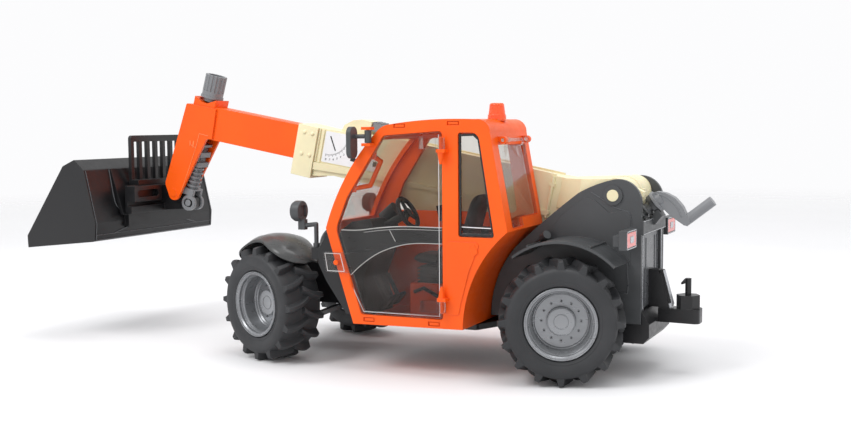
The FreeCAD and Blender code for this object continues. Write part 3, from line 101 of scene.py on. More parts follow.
def build_camera():
    """Looks across the vehicle from its left, from behind the rear axle towards the front."""
    yaw, pitch, roll = (math.radians(a) for a in CAMERA_TURN)
    forward = Vector((math.sin(yaw) * math.cos(pitch), -math.cos(yaw) * math.cos(pitch), -math.sin(pitch)))
    right = Vector((-math.cos(yaw), -math.sin(yaw), 0))
    up = right.cross(forward)
    rolled_right = right * math.cos(roll) + up * math.sin(roll)
    rolled_up = up * math.cos(roll) - right * math.sin(roll)
    pose = Matrix((rolled_right, rolled_up, -forward)).transposed().to_4x4()
    pose.translation = at(*CAMERA_PLACE)
    data = bpy.data.cameras.new("camera")
    data.sensor_width = SENSOR_WIDTH
    data.lens = FOCAL_LENGTH
    data.shift_x, data.shift_y = CAMERA_SHIFT
    data.clip_start = 0.01
    camera = bpy.data.objects.new("camera", data)
    camera.matrix_world = pose
    bpy.context.scene.collection.objects.link(camera)
    bpy.context.scene.camera = camera


build_camera()


# ---------- materials

def linear(red, green, blue):
    """A colour as seen on screen (0 to 255), in linear light."""
    channels = []
    for value in (red, green, blue):
        value /= 255
        channels.append(value / 12.92 if value <= 0.04045 else ((value + 0.055) / 1.055) ** 2.4)
    return (*channels, 1)


class Nodes:
    """Short words for building a node tree."""

    def __init__(self, name):
        self.material = bpy.data.materials.new(name)
        self.material.use_nodes = True
        self.tree = self.material.node_tree
        self.tree.nodes.clear()
        self.output = self.add("ShaderNodeOutputMaterial")
        self.place = self.add("ShaderNodeTexCoord").outputs["Object"]

    def add(self, kind, settings=None, **inputs):
        """A node with its settings and inputs; the input called i3 is input number 3."""
        node = self.tree.nodes.new(kind)
        for key, value in (settings or {}).items():
            setattr(node, key, value)
        for key, value in inputs.items():
            by_number = key[0] == "i" and key[1:].isdigit()
            socket = node.inputs[int(key[1:]) if by_number else key.replace("_", " ")]
            if isinstance(value, bpy.types.NodeSocket):
                self.tree.links.new(value, socket)
            else:
                socket.default_value = value
        return node

    def noise(self, scale, detail=4, stretch=None):
        place = self.place
        if stretch:
            place = self.add("ShaderNodeMapping", Vector=place, Scale=stretch).outputs[0]
        return self.add("ShaderNodeTexNoise", Vector=place, Scale=scale, Detail=detail).outputs["Fac"]

    def ramp(self, value, low, high, to_low=0.0, to_high=1.0):
        """The value, stretched from low and high to to_low and to_high."""
        node = self.add("ShaderNodeMapRange", Value=value)
        node.inputs["From Min"].default_value = low
        node.inputs["From Max"].default_value = high
        node.inputs["To Min"].default_value = to_low
        node.inputs["To Max"].default_value = to_high
        return node.outputs["Result"]

    def mix(self, factor, first, second):
        return self.add("ShaderNodeMix", {"data_type": "RGBA"}, i0=factor, i6=first, i7=second).outputs[2]

    def maths(self, operation, first, second):
        return self.add("ShaderNodeMath", {"operation": operation}, i0=first, i1=second).outputs[0]

    def edges(self, radius):
        """How near a point is to an edge, 0 on a flat face to 1 on an edge of that radius, and the rounded normal;
        the mask marks rubbed wear on moulded plastic and tyres, and a painted highlight on clear panes.
        """
        bevel = self.add("ShaderNodeBevel", {"samples": 4}, Radius=radius).outputs[0]
        flat = self.add("ShaderNodeNewGeometry").outputs["Normal"]
        both = self.add("ShaderNodeVectorMath", {"operation": "DOT_PRODUCT"}, i0=bevel, i1=flat)
        return self.ramp(both.outputs["Value"], 0.995, 0.75), bevel

    def finish(self, shader):
        self.tree.links.new(shader, self.output.inputs["Surface"])
        return self.material


EDGE_RADIUS = 0.35 * MM                 # of a moulded edge
RUBBING = 0.25                          # how pale an edge is rubbed at most
STREAKS = 0.15                          # share by which streaks change the roughness
PANE_SHINE = 0.45                       # share of full reflection on a clear pane


def moulded(name, colour, roughness, grain=0.05, metallic=0.0, gloss=0.5, glow=0.0):
    """Injection-moulded plastic: faint flow mottling, fine grain, rounded and slightly rubbed edges."""
    n = Nodes(name)
    base = linear(*colour)
    pale = tuple(c + (1 - c) * 0.10 for c in base[:3]) + (1,)
    deep = tuple(c * 0.82 for c in base[:3]) + (1,)
    mottle = n.ramp(n.noise(28, 6), 0.3, 0.7)
    body = n.mix(mottle, deep, base)
    worn, rounded = n.edges(EDGE_RADIUS)
    rubbed = n.maths("MULTIPLY", worn, n.ramp(n.noise(160, 3), 0.35, 0.65, 0.3 * RUBBING, RUBBING))
    body = n.mix(rubbed, body, pale)
    streaks = n.noise(240, 3, (0.25, 1.0, 1.6))
    rough = n.ramp(streaks, 0.3, 0.7, roughness * (1 - STREAKS), roughness * (1 + STREAKS))
    fine = n.maths("MULTIPLY", n.noise(2600, 2), 0.6)
    coarse = n.maths("MULTIPLY", n.noise(420, 2), 0.4)
    height = n.maths("ADD", fine, coarse)
    bump = n.add("ShaderNodeBump", Strength=grain * 4, Distance=0.1 * MM, Height=height,
                 Normal=rounded).outputs[0]
    shader = n.add("ShaderNodeBsdfPrincipled", Base_Color=body, Roughness=rough, Metallic=metallic,
                   Normal=bump, Specular_IOR_Level=gloss)
    if glow:
        shader.inputs["Subsurface Weight"].default_value = glow
        shader.inputs["Subsurface Radius"].default_value = (3 * MM, 1 * MM, 0.5 * MM)
        shader.inputs["Subsurface Scale"].default_value = 1.0
    return n.finish(shader.outputs[0])


def clear_plastic(name, tint):
    """Clear sheet that lets light through, with a faint flow ripple, glossy surface, hazy smudges, and edges
    whitened as a painted highlight.
    """
    n = Nodes(name)
    # on a clear pane the edge mask is not wear: it whitens the pane's edges as a painted highlight
    worn, _ = n.edges(0.25 * MM)
    ripple = n.add("ShaderNodeBump", Strength=0.04, Distance=0.15 * MM, Height=n.noise(60, 2)).outputs[0]
    smudge = n.ramp(n.noise(45, 5), 0.45, 0.75, 0.0, 0.015)
    clear = n.add("ShaderNodeBsdfTransparent", Color=linear(*tint)).outputs[0]
    rough = n.ramp(n.noise(90, 4), 0.3, 0.7, 0.02, 0.08)
    gloss = n.add("ShaderNodeBsdfGlossy", Roughness=rough, Normal=ripple).outputs[0]
    haze_and_edge_highlight = n.add("ShaderNodeBsdfDiffuse", Color=(0.9, 0.9, 0.9, 1)).outputs[0]
    shine = n.maths("MULTIPLY", n.add("ShaderNodeFresnel", IOR=1.4).outputs[0], PANE_SHINE)
    # real smudge haze plus a painted highlight: white diffuse along the pane's edges
    smudge_and_edge_highlight = n.maths("ADD", smudge, n.maths("MULTIPLY", worn, 0.3))
    pane = n.add("ShaderNodeMixShader", i0=smudge_and_edge_highlight, i1=clear, i2=haze_and_edge_highlight).outputs[0]
    return n.finish(n.add("ShaderNodeMixShader", i0=shine, i1=pane, i2=gloss).outputs[0])


def rubber(name, colour):
    """Vinyl tyre: matt, mould-grained, with a dusty bloom in patches."""
    n = Nodes(name)
    base = linear(*colour)
    bloom = tuple(min(1, c * 1.5 + 0.008) for c in base[:3]) + (1,)
    worn, rounded = n.edges(0.5 * MM)
    patches = n.ramp(n.noise(38, 6), 0.4, 0.75, 0.0, 0.5)
    body = n.mix(n.maths("MAXIMUM", patches, n.maths("MULTIPLY", worn, 0.6)), base, bloom)
    fine = n.maths("MULTIPLY", n.noise(3200, 2), 0.5)
    coarse = n.maths("MULTIPLY", n.noise(700, 3), 0.5)
    height = n.maths("ADD", fine, coarse)
    bump = n.add("ShaderNodeBump", Strength=0.35, Distance=0.12 * MM, Height=height,
                 Normal=rounded).outputs[0]
    rough = n.ramp(n.noise(110, 4), 0.3, 0.7, 0.5, 0.66)
    shader = n.add("ShaderNodeBsdfPrincipled", Base_Color=body, Roughness=rough, Normal=bump,
                   Specular_IOR_Level=0.4)
    return n.finish(shader.outputs[0])


def floor_material():
    """White studio floor that melts into the white surroundings."""
    n = Nodes("floor_white")
    tone = n.ramp(n.noise(6, 3), 0.3, 0.7)
    body = n.mix(tone, (0.80, 0.80, 0.81, 1), (0.82, 0.82, 0.83, 1))
    matt = n.add("ShaderNodeBsdfPrincipled", Base_Color=body, Roughness=0.65, Specular_IOR_Level=0.2)
    distance = n.add("ShaderNodeVectorMath", {"operation": "LENGTH"}, i0=n.place).outputs["Value"]
    away = n.ramp(distance, 0.7, 1.9)
    clear = n.add("ShaderNodeBsdfTransparent").outputs[0]
    return n.finish(n.add("ShaderNodeMixShader", i0=away, i1=matt.outputs[0], i2=clear).outputs[0])


ORANGE = (248, 92, 8)
FINISH = {
    "orange": moulded("orange_plastic", ORANGE, 0.38, glow=0.04, gloss=0.3),
    "beige": moulded("beige_plastic", (238, 228, 188), 0.42, glow=0.05),
    "dark_grey": moulded("dark_grey_plastic", (66, 68, 70), 0.44, grain=0.08),
    "fender_grey": moulded("fender_plastic", (66, 67, 67), 0.3),
    "black": moulded("black_plastic", (23, 23, 25), 0.36, gloss=0.45, grain=0.06),
    "interior": moulded("interior_plastic", (34, 35, 37), 0.5, gloss=0.35),
    "rim_silver": moulded("rim_plastic", (150, 152, 155), 0.3, metallic=0.6),
    "mid_grey": moulded("grey_plastic", (126, 128, 131), 0.36),
    "tail_lens": moulded("lens_plastic", (244, 140, 138), 0.18, glow=0.3),
    "beacon_lens": moulded("beacon_plastic", (255, 96, 40), 0.16, glow=0.6),
    "dial_white": moulded("dial_print", (236, 236, 238), 0.3),
    # tint made deeper than the windows' so it also stands for shade inside the cab (painted shade)
    "door_tint": clear_plastic("tinted_plastic_and_shade", (226, 220, 218)),
    # white print, also used as a painted highlight along the clear door's edge
    "ink": moulded("black_print", (22, 22, 24), 0.3, grain=0.02),
    "white_ink": moulded("white_print_and_highlight", (232, 232, 232), 0.35, grain=0.02),
    # silver print; also a painted highlight on the hitch strut's ribs and on the bucket's lit patches
    "silver": moulded("silver_print_and_highlight", (196, 198, 202), 0.25, metallic=0.6),
    "tyre": rubber("tyre_vinyl", (44, 45, 47)),
    "clear": clear_plastic("clear_plastic", (246, 245, 243)),
    # a paler copy of the orange, used as a painted highlight on raised lines
    "orange_pale": moulded("orange_edge_plastic", (255, 138, 74), 0.36, glow=0.05),
    "panel_grey": moulded("panel_plastic", (92, 94, 97), 0.3, metallic=0.3),
}
SLOT_OF = {"door_tint": "clear", "orange_pale": "orange", "panel_grey": "dark_grey",
           "fender_grey": "dark_grey", "interior": "black", "ink": "black", "white_ink": "dial_white",
           "silver": "rim_silver"}


def dress(node, finish):
    data = frame["nodes"][node].data
    data.materials.clear()
    data.materials.append(FINISH[finish])


def dress_nodes():
    for part in frame["record"]["subparts"]:
        dress(part["node"], part["material_slot"])
    for node in ("fender_front_left", "fender_front_right"):
        dress(node, "fender_grey")
    for node in ("steering_wheel", "dashboard", "pedals", "control_lever"):
        dress(node, "interior")


dress_nodes()


# ---------- mesh helpers, all in vehicle millimetres

def piece(name, vertices, faces, finish, body, bevel=0.0, smooth=35):
    """A mesh object in the frame that rides on a body."""
    data = bpy.data.meshes.new(name)
    data.from_pydata([at(*v) for v in vertices], [], faces)
    mesh = bmesh.new()
    mesh.from_mesh(data)
    bmesh.ops.remove_doubles(mesh, verts=mesh.verts, dist=1e-6)
    bmesh.ops.recalc_face_normals(mesh, faces=mesh.faces)
    mesh.to_mesh(data)
    mesh.free()
    obj = bpy.data.objects.new(name, data)
    bpy.context.scene.collection.objects.link(obj)
    data.materials.append(FINISH[finish])
    if bevel:
        modifier = obj.modifiers.new("rounding", "BEVEL")
        modifier.width = bevel * MM
        modifier.segments = 2
        modifier.limit_method = "ANGLE"
        modifier.angle_limit = math.radians(30)
    data.shade_smooth()
    data.set_sharp_from_angle(angle=math.radians(smooth))
    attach(obj, body)
    SLOT_OF.get(finish, finish)
    return obj


def band(first, second, count):
    """Faces between two rings of that many points, from the number of each ring's first vertex."""
    return [(first + k, first + (k + 1) % count, second + (k + 1) % count, second + k)
            for k in range(count)]


def slab_faces(rows, columns):
    """Faces of a closed slab: two layers of points, each of that many rows and columns."""
    layer = rows * columns
    faces = []
    for start in (0, layer):
        for i in range(rows - 1):
            for k in range(columns - 1):
                a = start + i * columns + k
                faces.append((a, a + 1, a + columns + 1, a + columns))
    for k in range(columns - 1):
        for a in (k, (rows - 1) * columns + k):
            faces.append((a, a + 1, layer + a + 1, layer + a))
    for i in range(rows - 1):
        for a in (i * columns, i * columns + columns - 1):
            faces.append((a, a + columns, layer + a + columns, layer + a))
    return faces


def prism(points, low, high, axis="y"):
    """Vertices and faces of a plate: a flat outline given thickness along y or z."""
    order = {"y": lambda a, b, c: (a, c, b), "z": lambda a, b, c: (a, b, c)}[axis]
    count = len(points)
    vertices = [order(a, b, low) for a, b in points] + [order(a, b, high) for a, b in points]
    faces = [tuple(range(count))[::-1], tuple(range(count, 2 * count))]
    return vertices, faces + band(0, count, count)


def joined(*meshes):
    """Several lots of vertices and faces as one."""
    vertices, faces = [], []
    for more_vertices, more_faces in meshes:
        start = len(vertices)
        vertices += more_vertices
        faces += [tuple(start + i for i in face) for face in more_faces]
    return vertices, faces


def block(x, y, z):
    """A box, from its lowest and highest x, y and z."""
    return prism([(x[0], y[0]), (x[1], y[0]), (x[1], y[1]), (x[0], y[1])], z[0], z[1], "z")


def stroke(points, width, low, high):
    """A raised line of that width on a plane of constant y, through (x, z) points."""
    left, right = [], []
    for i, point in enumerate(points):
        before = Vector(points[max(i - 1, 0)])
        after = Vector(points[min(i + 1, len(points) - 1)])
        along = (after - before).normalized()
        across = Vector((-along.y, along.x)) * width / 2
        left.append(tuple(Vector(point) + across))
        right.append(tuple(Vector(point) - across))
    return prism(left + right[::-1], low, high)


def curve(points, steps=8):
    """A smooth line through points (Catmull-Rom)."""
    points = [Vector(p) for p in points]
    padded = [points[0] * 2 - points[1]] + points + [points[-1] * 2 - points[-2]]
    line = []
    for a, b, c, d in zip(padded, padded[1:], padded[2:], padded[3:]):
        for k in range(steps):
            t = k / steps
            line.append(0.5 * (2 * b + (c - a) * t + (2 * a - 5 * b + 4 * c - d) * t ** 2
                               + (3 * b - a - 3 * c + d) * t ** 3))
    return [tuple(p) for p in line] + [tuple(points[-1])]


def tube(points, radius, sides=12):
    """A round bar along 3-D points."""
    points = [Vector(p) for p in points]
    last = len(points) - 1
    turns = [2 * math.pi * k / sides for k in range(sides)]
    vertices = []
    normal = None
    for i, point in enumerate(points):
        along = (points[min(i + 1, last)] - points[max(i - 1, 0)]).normalized()
        if normal is None:
            normal = along.orthogonal().normalized()
        normal = (normal - along * normal.dot(along)).normalized()
        other = along.cross(normal)
        vertices += [tuple(point + (normal * math.cos(a) + other * math.sin(a)) * radius) for a in turns]
    faces = []
    for i in range(last):
        faces += band(i * sides, (i + 1) * sides, sides)
    return vertices, faces + [tuple(range(sides))[::-1], tuple(range(last * sides, (last + 1) * sides))]


def spun(profile, steps, place):
    """A closed outline of (radius, depth) turned about an axle; place(radius, angle, depth) is a point."""
    count = len(profile)
    vertices = [place(r, 2 * math.pi * s / steps, d) for s in range(steps) for r, d in profile]
    faces = []
    for s in range(steps):
        faces += band(s * count, (s + 1) % steps * count, count)
    return vertices, faces


# ---------- wheels

WHEELS = {"fl": "front_left", "fr": "front_right", "rl": "rear_left", "rr": "rear_right"}
STEER = {"front": -21.0, "rear": 16.8}  # degrees about z, as the wheels stand
RIM_FACE = 22.0                         # from the kingpin out to the rim's face
TYRE_WIDTH = 26.0
LUGS = 16                               # tread bars on each half of a tyre
LUG_STATIONS = 8
LUG_LEAD = 9.5                          # degrees from a bar's shoulder end to its other end
LUG_FOOT = 2.6                          # degrees that a bar's foot spreads behind it
RIM_RINGS = ((19.0, -0.05, 0.28), (16.9, 2.6, 0.3), (14.9, 11.6, 0.35), (7.2, 8.75, 0.22),
             (3.9, 8.72, 0.2))          # radius, depth, half thickness
RIDGES = 150                            # fine ridges round the rim's flange
RIDGE_HALF = 0.010                      # half of a ridge, in radians
BOLTS = 12
BOLT_CIRCLE = 10.6


def wheel_place(corner):
    """A function from (radius, angle, depth in from the rim's face) to a point in vehicle millimetres."""
    axle, side_name = corner.split("_")
    side = dict(SIDES)[side_name]
    steer = math.radians(STEER[axle])
    kingpin = joint_place("steer_" + corner)

    def place(radius, angle, depth):
        along = -radius * math.cos(angle)
        out = side * (RIM_FACE - depth)
        return (kingpin.x + along * math.cos(steer) - out * math.sin(steer),
                kingpin.y + along * math.sin(steer) + out * math.cos(steer),
                TYRE_RADIUS + radius * math.sin(angle))
    return place


def lug(place, start, near):
    """One curved bar of the tread, from the shoulder to just past the middle of the tyre."""
    vertices = []
    for i in range(LUG_STATIONS + 1):
        t = i / LUG_STATIONS
        depth = 0.1 + 14.6 * t
        if not near:
            depth = TYRE_WIDTH - depth
        angle = start + math.radians(LUG_LEAD) * t ** 2
        foot = angle - math.radians(LUG_FOOT) * t ** 0.5
        top_radius = 33.9 - 0.9 * max(0, 1 - t * 5) ** 1.5 - 0.5 * max(0, t - 0.8) * 5
        low_radius = 28.6 + 1.2 * min(1, t * 4)
        half_low, half_top = (2.5 - 0.6 * t) / 31, (1.3 - 0.25 * t) / 34
        vertices += [place(low_radius, foot - half_low, depth), place(top_radius, angle - half_top, depth),
                     place(top_radius, angle + half_top, depth), place(low_radius, angle + half_low, depth)]
    faces = [(0, 1, 2, 3), tuple(4 * LUG_STATIONS + k for k in (3, 2, 1, 0))]
    for i in range(LUG_STATIONS):
        faces += band(4 * i, 4 * i + 4, 4)
    return vertices, faces


def build_tyre(short, corner):
    """Carcass with its beads and side walls, and two rows of curved bars, half a pitch apart."""
    place = wheel_place(corner)
    outer_wall = [(18.7, 2.0), (19.6, 2.0), (19.7, 0.9), (20.3, 0.2), (21.2, 0.0), (21.5, -0.35),
                  (21.9, -0.05), (23.5, -0.75), (25.5, -0.9), (27.4, -0.75), (28.5, -0.3), (29.2, 0.5),
                  (29.6, 1.8), (30.0, 5.0)]
    inner_wall = [(r, TYRE_WIDTH - d) for r, d in outer_wall[::-1]]
    profile = outer_wall + [(30.3, TYRE_WIDTH / 2)] + inner_wall
    parts = [spun(profile, 128, place)]
    pitch = 2 * math.pi / LUGS
    for k in range(LUGS):
        parts.append(lug(place, k * pitch, True))
        parts.append(lug(place, (k + 0.5) * pitch, False))
    tyre = piece("tread_" + corner, *joined(*parts), "tyre", "wheel_" + short, bevel=0.35)
    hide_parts("tyre_" + corner)


def rim_ring(place, radius, depth, half):
    """A thin six-sided ring round the rim."""
    turns = [math.pi * k / 3 for k in range(6)]
    section = [(radius + half * math.cos(a), depth + half * math.sin(a)) for a in turns]
    return spun(section, 96, place)


def rim_ridge(place, angle):
    """One fine ridge across the rim's flange, narrower at its crest."""
    corners = [(17.6, -RIDGE_HALF, 0.35), (18.8, -RIDGE_HALF, -0.12), (18.8, RIDGE_HALF, -0.12),
               (17.6, RIDGE_HALF, 0.35)]
    vertices = [place(r, angle + a, d) for r, a, d in corners]
    vertices += [place(r, angle + a * 0.3, d - 0.22) for r, a, d in corners]
    return vertices, [(0, 1, 2, 3), (7, 6, 5, 4)] + band(0, 4, 4)


def bolt_disc(place, angle, radius, depths, sides):
    """A small many-sided disc on the rim's bolt circle."""
    centre = Vector((math.cos(angle), math.sin(angle))) * BOLT_CIRCLE
    outline = []
    for j in range(sides):
        turn = 2 * math.pi * j / sides
        point = centre + Vector((math.cos(turn), math.sin(turn))) * radius
        outline.append((point.length, math.atan2(point.y, point.x)))
    vertices = [place(r, a, d) for d in depths for r, a in outline]
    return vertices, [tuple(range(sides))[::-1], tuple(range(sides, 2 * sides))] + band(0, sides, sides)


def build_rim_trim(short, corner):
    """Ridges round the rim's flange, rings in the dish and on the hub cap, bolts, and black discs on them as
    painted shade in their sockets.
    """
    place = wheel_place(corner)
    wheel = "wheel_" + short
    parts = [rim_ring(place, *ring) for ring in RIM_RINGS]
    parts += [rim_ridge(place, 2 * math.pi * k / RIDGES) for k in range(RIDGES)]
    piece("rim_ridges_" + corner, *joined(*parts), "rim_silver", wheel)
    angles = [2 * math.pi * k / BOLTS for k in range(BOLTS)]
    bolts = [bolt_disc(place, angle, 0.75, (12.9, 12.2), 20) for angle in angles]
    piece("bolts_" + corner, *joined(*bolts), "rim_silver", wheel, bevel=0.12)
    # painted shade: a black six-sided disc on each bolt's face stands for the shade in its socket
    sockets = [bolt_disc(place, angle, 0.45, (12.4, 12.15), 6) for angle in angles]
    piece("bolt_socket_shade_" + corner, *joined(*sockets), "black", wheel)


for short_name, corner_name in WHEELS.items():
    build_tyre(short_name, corner_name)
    build_rim_trim(short_name, corner_name)


# ---------- cab

DOOR_FACE = CAB_LEFT - 0.1              # the door's outer face


def build_door_print():
    """Black band across the door with pale lines along its edges, a faintly tinted film below it that is part tint
    and part painted shade, and a white line along the door's edge as a painted highlight.
    """
    upper = curve([(129.0, 80.2), (118.0, 80.4), (104.0, 82.2), (90.0, 83.2), (66.8, 83.2)])
    lower = curve([(124.6, 53.6), (117.0, 60.4), (107.0, 67.2), (96.0, 71.6), (84.0, 74.0), (66.8, 74.4)])
    inside = curve([(124.8, 54.6), (127.6, 63.0), (130.6, 74.0), (129.8, 79.8)], 5)
    band_outline = upper + lower[::-1] + inside[1:-1]
    low, high = DOOR_FACE - 1.4, DOOR_FACE - 1.15
    piece("door_band", *prism(band_outline, low, high), "ink", "door")
    # part tint, part painted shade: a faintly tinted film over the lower door darkens the cab's inside seen
    # through it
    film = lower[::-1] + [(124.0, 52.6), (114.6, 34.8), (67.8, 34.8)]
    piece("door_lower_tint_and_shade", *prism(film[::-1], low, low + 0.12), "door_tint", "door")
    # painted highlight: a white line along the clear door's edge, where the edge catches the light
    edge = [(123.6, 52.0), (114.8, 34.6), (68.0, 34.6), (68.0, 133.8)]
    piece("door_edge_highlight", *stroke(edge, 0.35, DOOR_FACE - 0.05, DOOR_FACE + 0.1), "white_ink", "door")
    line_high = high + 0.12
    shadow = [(x, z - 1.5) for x, z in upper if x < 116]
    lines = [stroke(upper, 0.45, low, line_high), stroke(lower, 0.35, low, line_high),
             stroke(shadow, 0.22, low, line_high),
             stroke([(98.6, 81.0), (96.4, 77.0), (95.0, 74.8)], 0.25, low, line_high)]
    piece("door_band_lines", *joined(*lines), "white_ink", "door")


SEAT_Y = 38.0
SEAT_HALF = 10.4                        # half the seat's width
SEAT_ACROSS, SEAT_ALONG = 12, 14        # faces across and along a pad
BACK_LEAN = 14.5                        # degrees


def seat_pad(name, centre_line, thickness, crown, narrow):
    """A crowned pad with side bolsters; centre_line(t) is a point and a normal, narrow pulls in its end."""
    vertices = []
    for side in (1, -1):
        for i in range(SEAT_ALONG + 1):
            t = i / SEAT_ALONG
            (x, z), (nx, nz) = centre_line(t)
            half = SEAT_HALF * (1 - narrow * max(0, t - 0.75) ** 2 * 8)
            for k in range(SEAT_ACROSS + 1):
                s = 2 * k / SEAT_ACROSS - 1
                bolster = 0.9 * math.exp(-((abs(s) - 0.78) / 0.16) ** 2)
                round_off = (1 - abs(s) ** 6) * (1 - (2 * t - 1) ** 12)
                lift = side * thickness / 2 * (0.25 + 0.75 * round_off)
                if side > 0:
                    lift += crown * (1 - s * s) * 0.5 + bolster * round_off
                vertices.append((x + nx * lift, SEAT_Y + half * s, z + nz * lift))
    faces = slab_faces(SEAT_ALONG + 1, SEAT_ACROSS + 1)
    pad = piece(name, vertices, faces, "interior", "chassis", smooth=60)
    smoothing = pad.modifiers.new("smooth", "SUBSURF")
    smoothing.levels = smoothing.render_levels = 1
    return pad


def build_seat():
    """Moulded seat: crowned cushion with side bolsters, and a tall back with rounded shoulders."""
    lean = math.radians(BACK_LEAN)

    def cushion_line(t):
        return (64.0 + 28.6 * t, 62.2 + 1.4 * t), (-0.05, 0.998)

    def back_line(t):
        return (63.4 - 38.0 * t * math.sin(lean), 66.2 + 34.0 * t), (math.cos(lean), math.sin(lean))

    cushion = seat_pad("seat_cushion", cushion_line, 5.6, 0.8, 0.3)
    seat_pad("seat_back", back_line, 5.4, 0.7, 1.0)
    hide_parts("seat")


def build_seat_base():
    """Orange plinth with black bellows and the seat's adjusting lever."""
    plinth = piece("seat_plinth", *block((60.2, 93.8), (26.2, 49.8), (30.2, 50.0)), "orange", "chassis",
                   bevel=0.8)
    folds = []
    for k in range(5):
        z = 50.0 + 1.9 * k
        for z_low, z_high, inset in ((z, z + 1.1, 0.0), (z + 1.1, z + 1.9, 1.2)):
            folds.append(block((64.2 + inset, 89.8 - inset), (28.2 + inset, 47.8 - inset), (z_low, z_high)))
    piece("seat_bellows", *joined(*folds), "interior", "chassis", bevel=0.3)
    lever = [tube([(90.0, 51.6, 45.0), (84.0, 51.8, 47.6), (76.0, 51.8, 43.6), (69.0, 51.6, 41.6)], 1.1),
             block((68.0, 74.0), (50.0, 52.0), (36.0, 42.6))]
    piece("seat_lever", *joined(*lever), "interior", "chassis", bevel=0.3)
    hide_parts("seat_base")


def build_side_gasket():
    """Black seal round the fixed side window, and the bright line over its sill."""
    outer = [(56.4, 79.2), (56.4, 134.0), (47.6, 134.2), (44.6, 131.6), (36.6, 79.2)]
    inner = [(55.4, 80.4), (55.4, 132.8), (48.2, 133.0), (45.6, 130.8), (37.6, 80.4)]
    depths = (CAB_LEFT - 1.9, CAB_LEFT - 0.7)
    vertices = [(x, y, z) for y in depths for ring in (outer, inner) for x, z in ring]
    count = len(outer)
    faces = []
    for first, second in ((0, 1), (2, 3), (0, 2), (1, 3)):
        faces += band(first * count, second * count, count)
    piece("side_gasket", vertices, faces, "ink", "chassis")
    sill = stroke([(38.0, 83.6), (55.8, 84.0)], 0.5, CAB_LEFT - 2.0, CAB_LEFT - 1.4)
    piece("side_window_line", *sill, "white_ink", "chassis")


def build_cab_trim():
    """Diamond clip on the rear quarter, clip tongues in the frame's notches and the latch's button."""
    corners = ((2.6, 1.2), (-0.6, 3.4), (-2.6, -1.2), (0.6, -3.4))
    diamond = [(47.6 + dx, 71.6 + dz) for dx, dz in corners]
    piece("quarter_clip", *prism(diamond, CAB_LEFT + 0.3, CAB_LEFT + 0.75), "orange", "chassis", bevel=0.25)
    roof_notches = ((88.6, 137.9, 139.5), (56.6, 139.1, 140.7))
    sill_notches = ((108.6, 29.3, 31.1), (68.6, 29.3, 31.1))
    tongues = [block((x, x + 5.8), (CAB_LEFT - 0.9, CAB_LEFT - 0.25), (low, high))
               for x, low, high in roof_notches + sill_notches]
    piece("frame_clips", *joined(*tongues), "orange", "chassis", bevel=0.25)
    button = tube([(131.4, CAB_LEFT + 0.2, 61.8), (131.4, CAB_LEFT + 1.9, 61.8)], 1.5, 24)
    piece("latch_button", *button, "orange", "door", bevel=0.2)
    frame_line = [(125.8, 57.0), (136.6, 57.0), (138.2, 66.9), (128.4, 66.9)]
    outline = stroke(frame_line + frame_line[:1], 0.35, CAB_LEFT + 1.7, CAB_LEFT + 1.95)
    piece("latch_edge", *outline, "white_ink", "door")


build_door_print()
build_seat()
build_seat_base()
build_side_gasket()
build_cab_trim()


# ---------- boom

DIAL_FACE = BOOM_Y + BOOM_HALF + 0.5    # outer face of the dial's plate
DIAL_CENTRE = Vector((189.0, -5.7))     # middle of the scale, along and across the boom
TICK_START, TICK_SWEEP, TICK_GAPS = 192, 79, 24
NUMBER_START, NUMBER_SWEEP, LAST_NUMBER = 194, 75, 8


def dial_point(radius, degrees):
    """A point of the dial, from the middle of its scale, in the boom's (u, w)."""
    turn = math.radians(degrees)
    return DIAL_CENTRE + Vector((math.cos(turn), math.sin(turn))) * radius


def build_dial():
    """Printed boom-angle dial: needle, ticks on an arc, numbers and a plain bar mark."""
    low, high = DIAL_FACE - 0.1, DIAL_FACE + 0.06
    needle = [on_boom(*dial_point(r, 239)) for r in (2.0, 11.8)]
    marks = [stroke(needle, 0.8, low, high)]
    for k in range(TICK_GAPS + 1):
        degrees = TICK_START + TICK_SWEEP * k / TICK_GAPS
        outer = 14.8 if k % 3 == 0 else 14.1
        tick = [on_boom(*dial_point(r, degrees)) for r in (13.2, outer)]
        marks.append(stroke(tick, 0.26, low, high))
    bars = ([(171.8, -17.0), (167.8, -17.4), (167.4, -19.8), (171.6, -19.6)],
            [(156.4, -12.6), (153.2, -12.2), (153.0, -14.2), (156.0, -14.6)],
            [(156.0, -16.6), (153.6, -16.4), (153.2, -19.4), (155.8, -19.8)])
    marks += [prism([on_boom(*corner) for corner in bar], low, high) for bar in bars]
    piece("dial_marks", *joined(*marks), "ink", "boom")
    for k in range(LAST_NUMBER + 1):
        number_mark(str(k), dial_point(16.6, NUMBER_START + NUMBER_SWEEP * k / LAST_NUMBER))


def number_mark(text, spot):
    """One generic number of the dial, as a thin mesh."""
    letters = bpy.data.curves.new("number", "FONT")
    letters.body = text
    letters.size = 1.9
    letters.align_x = "CENTER"
    letters.align_y = "CENTER"
    letters.extrude = 0.04
    holder = bpy.data.objects.new("number", letters)
    bpy.context.scene.collection.objects.link(holder)
    bpy.context.view_layer.update()
    data = bpy.data.meshes.new_from_object(holder.evaluated_get(bpy.context.evaluated_depsgraph_get()))
    bpy.data.objects.remove(holder)
    vertices = []
    for v in data.vertices:
        x, z = on_boom(spot.x - v.co.x, spot.y + v.co.y)
        vertices.append((x, DIAL_FACE + 0.04 + v.co.z, z))
    faces = [tuple(p.vertices) for p in data.polygons]
    piece("dial_number_" + text, vertices, faces, "ink", "boom")


build_dial()


# ---------- fenders, rear end, head and bucket

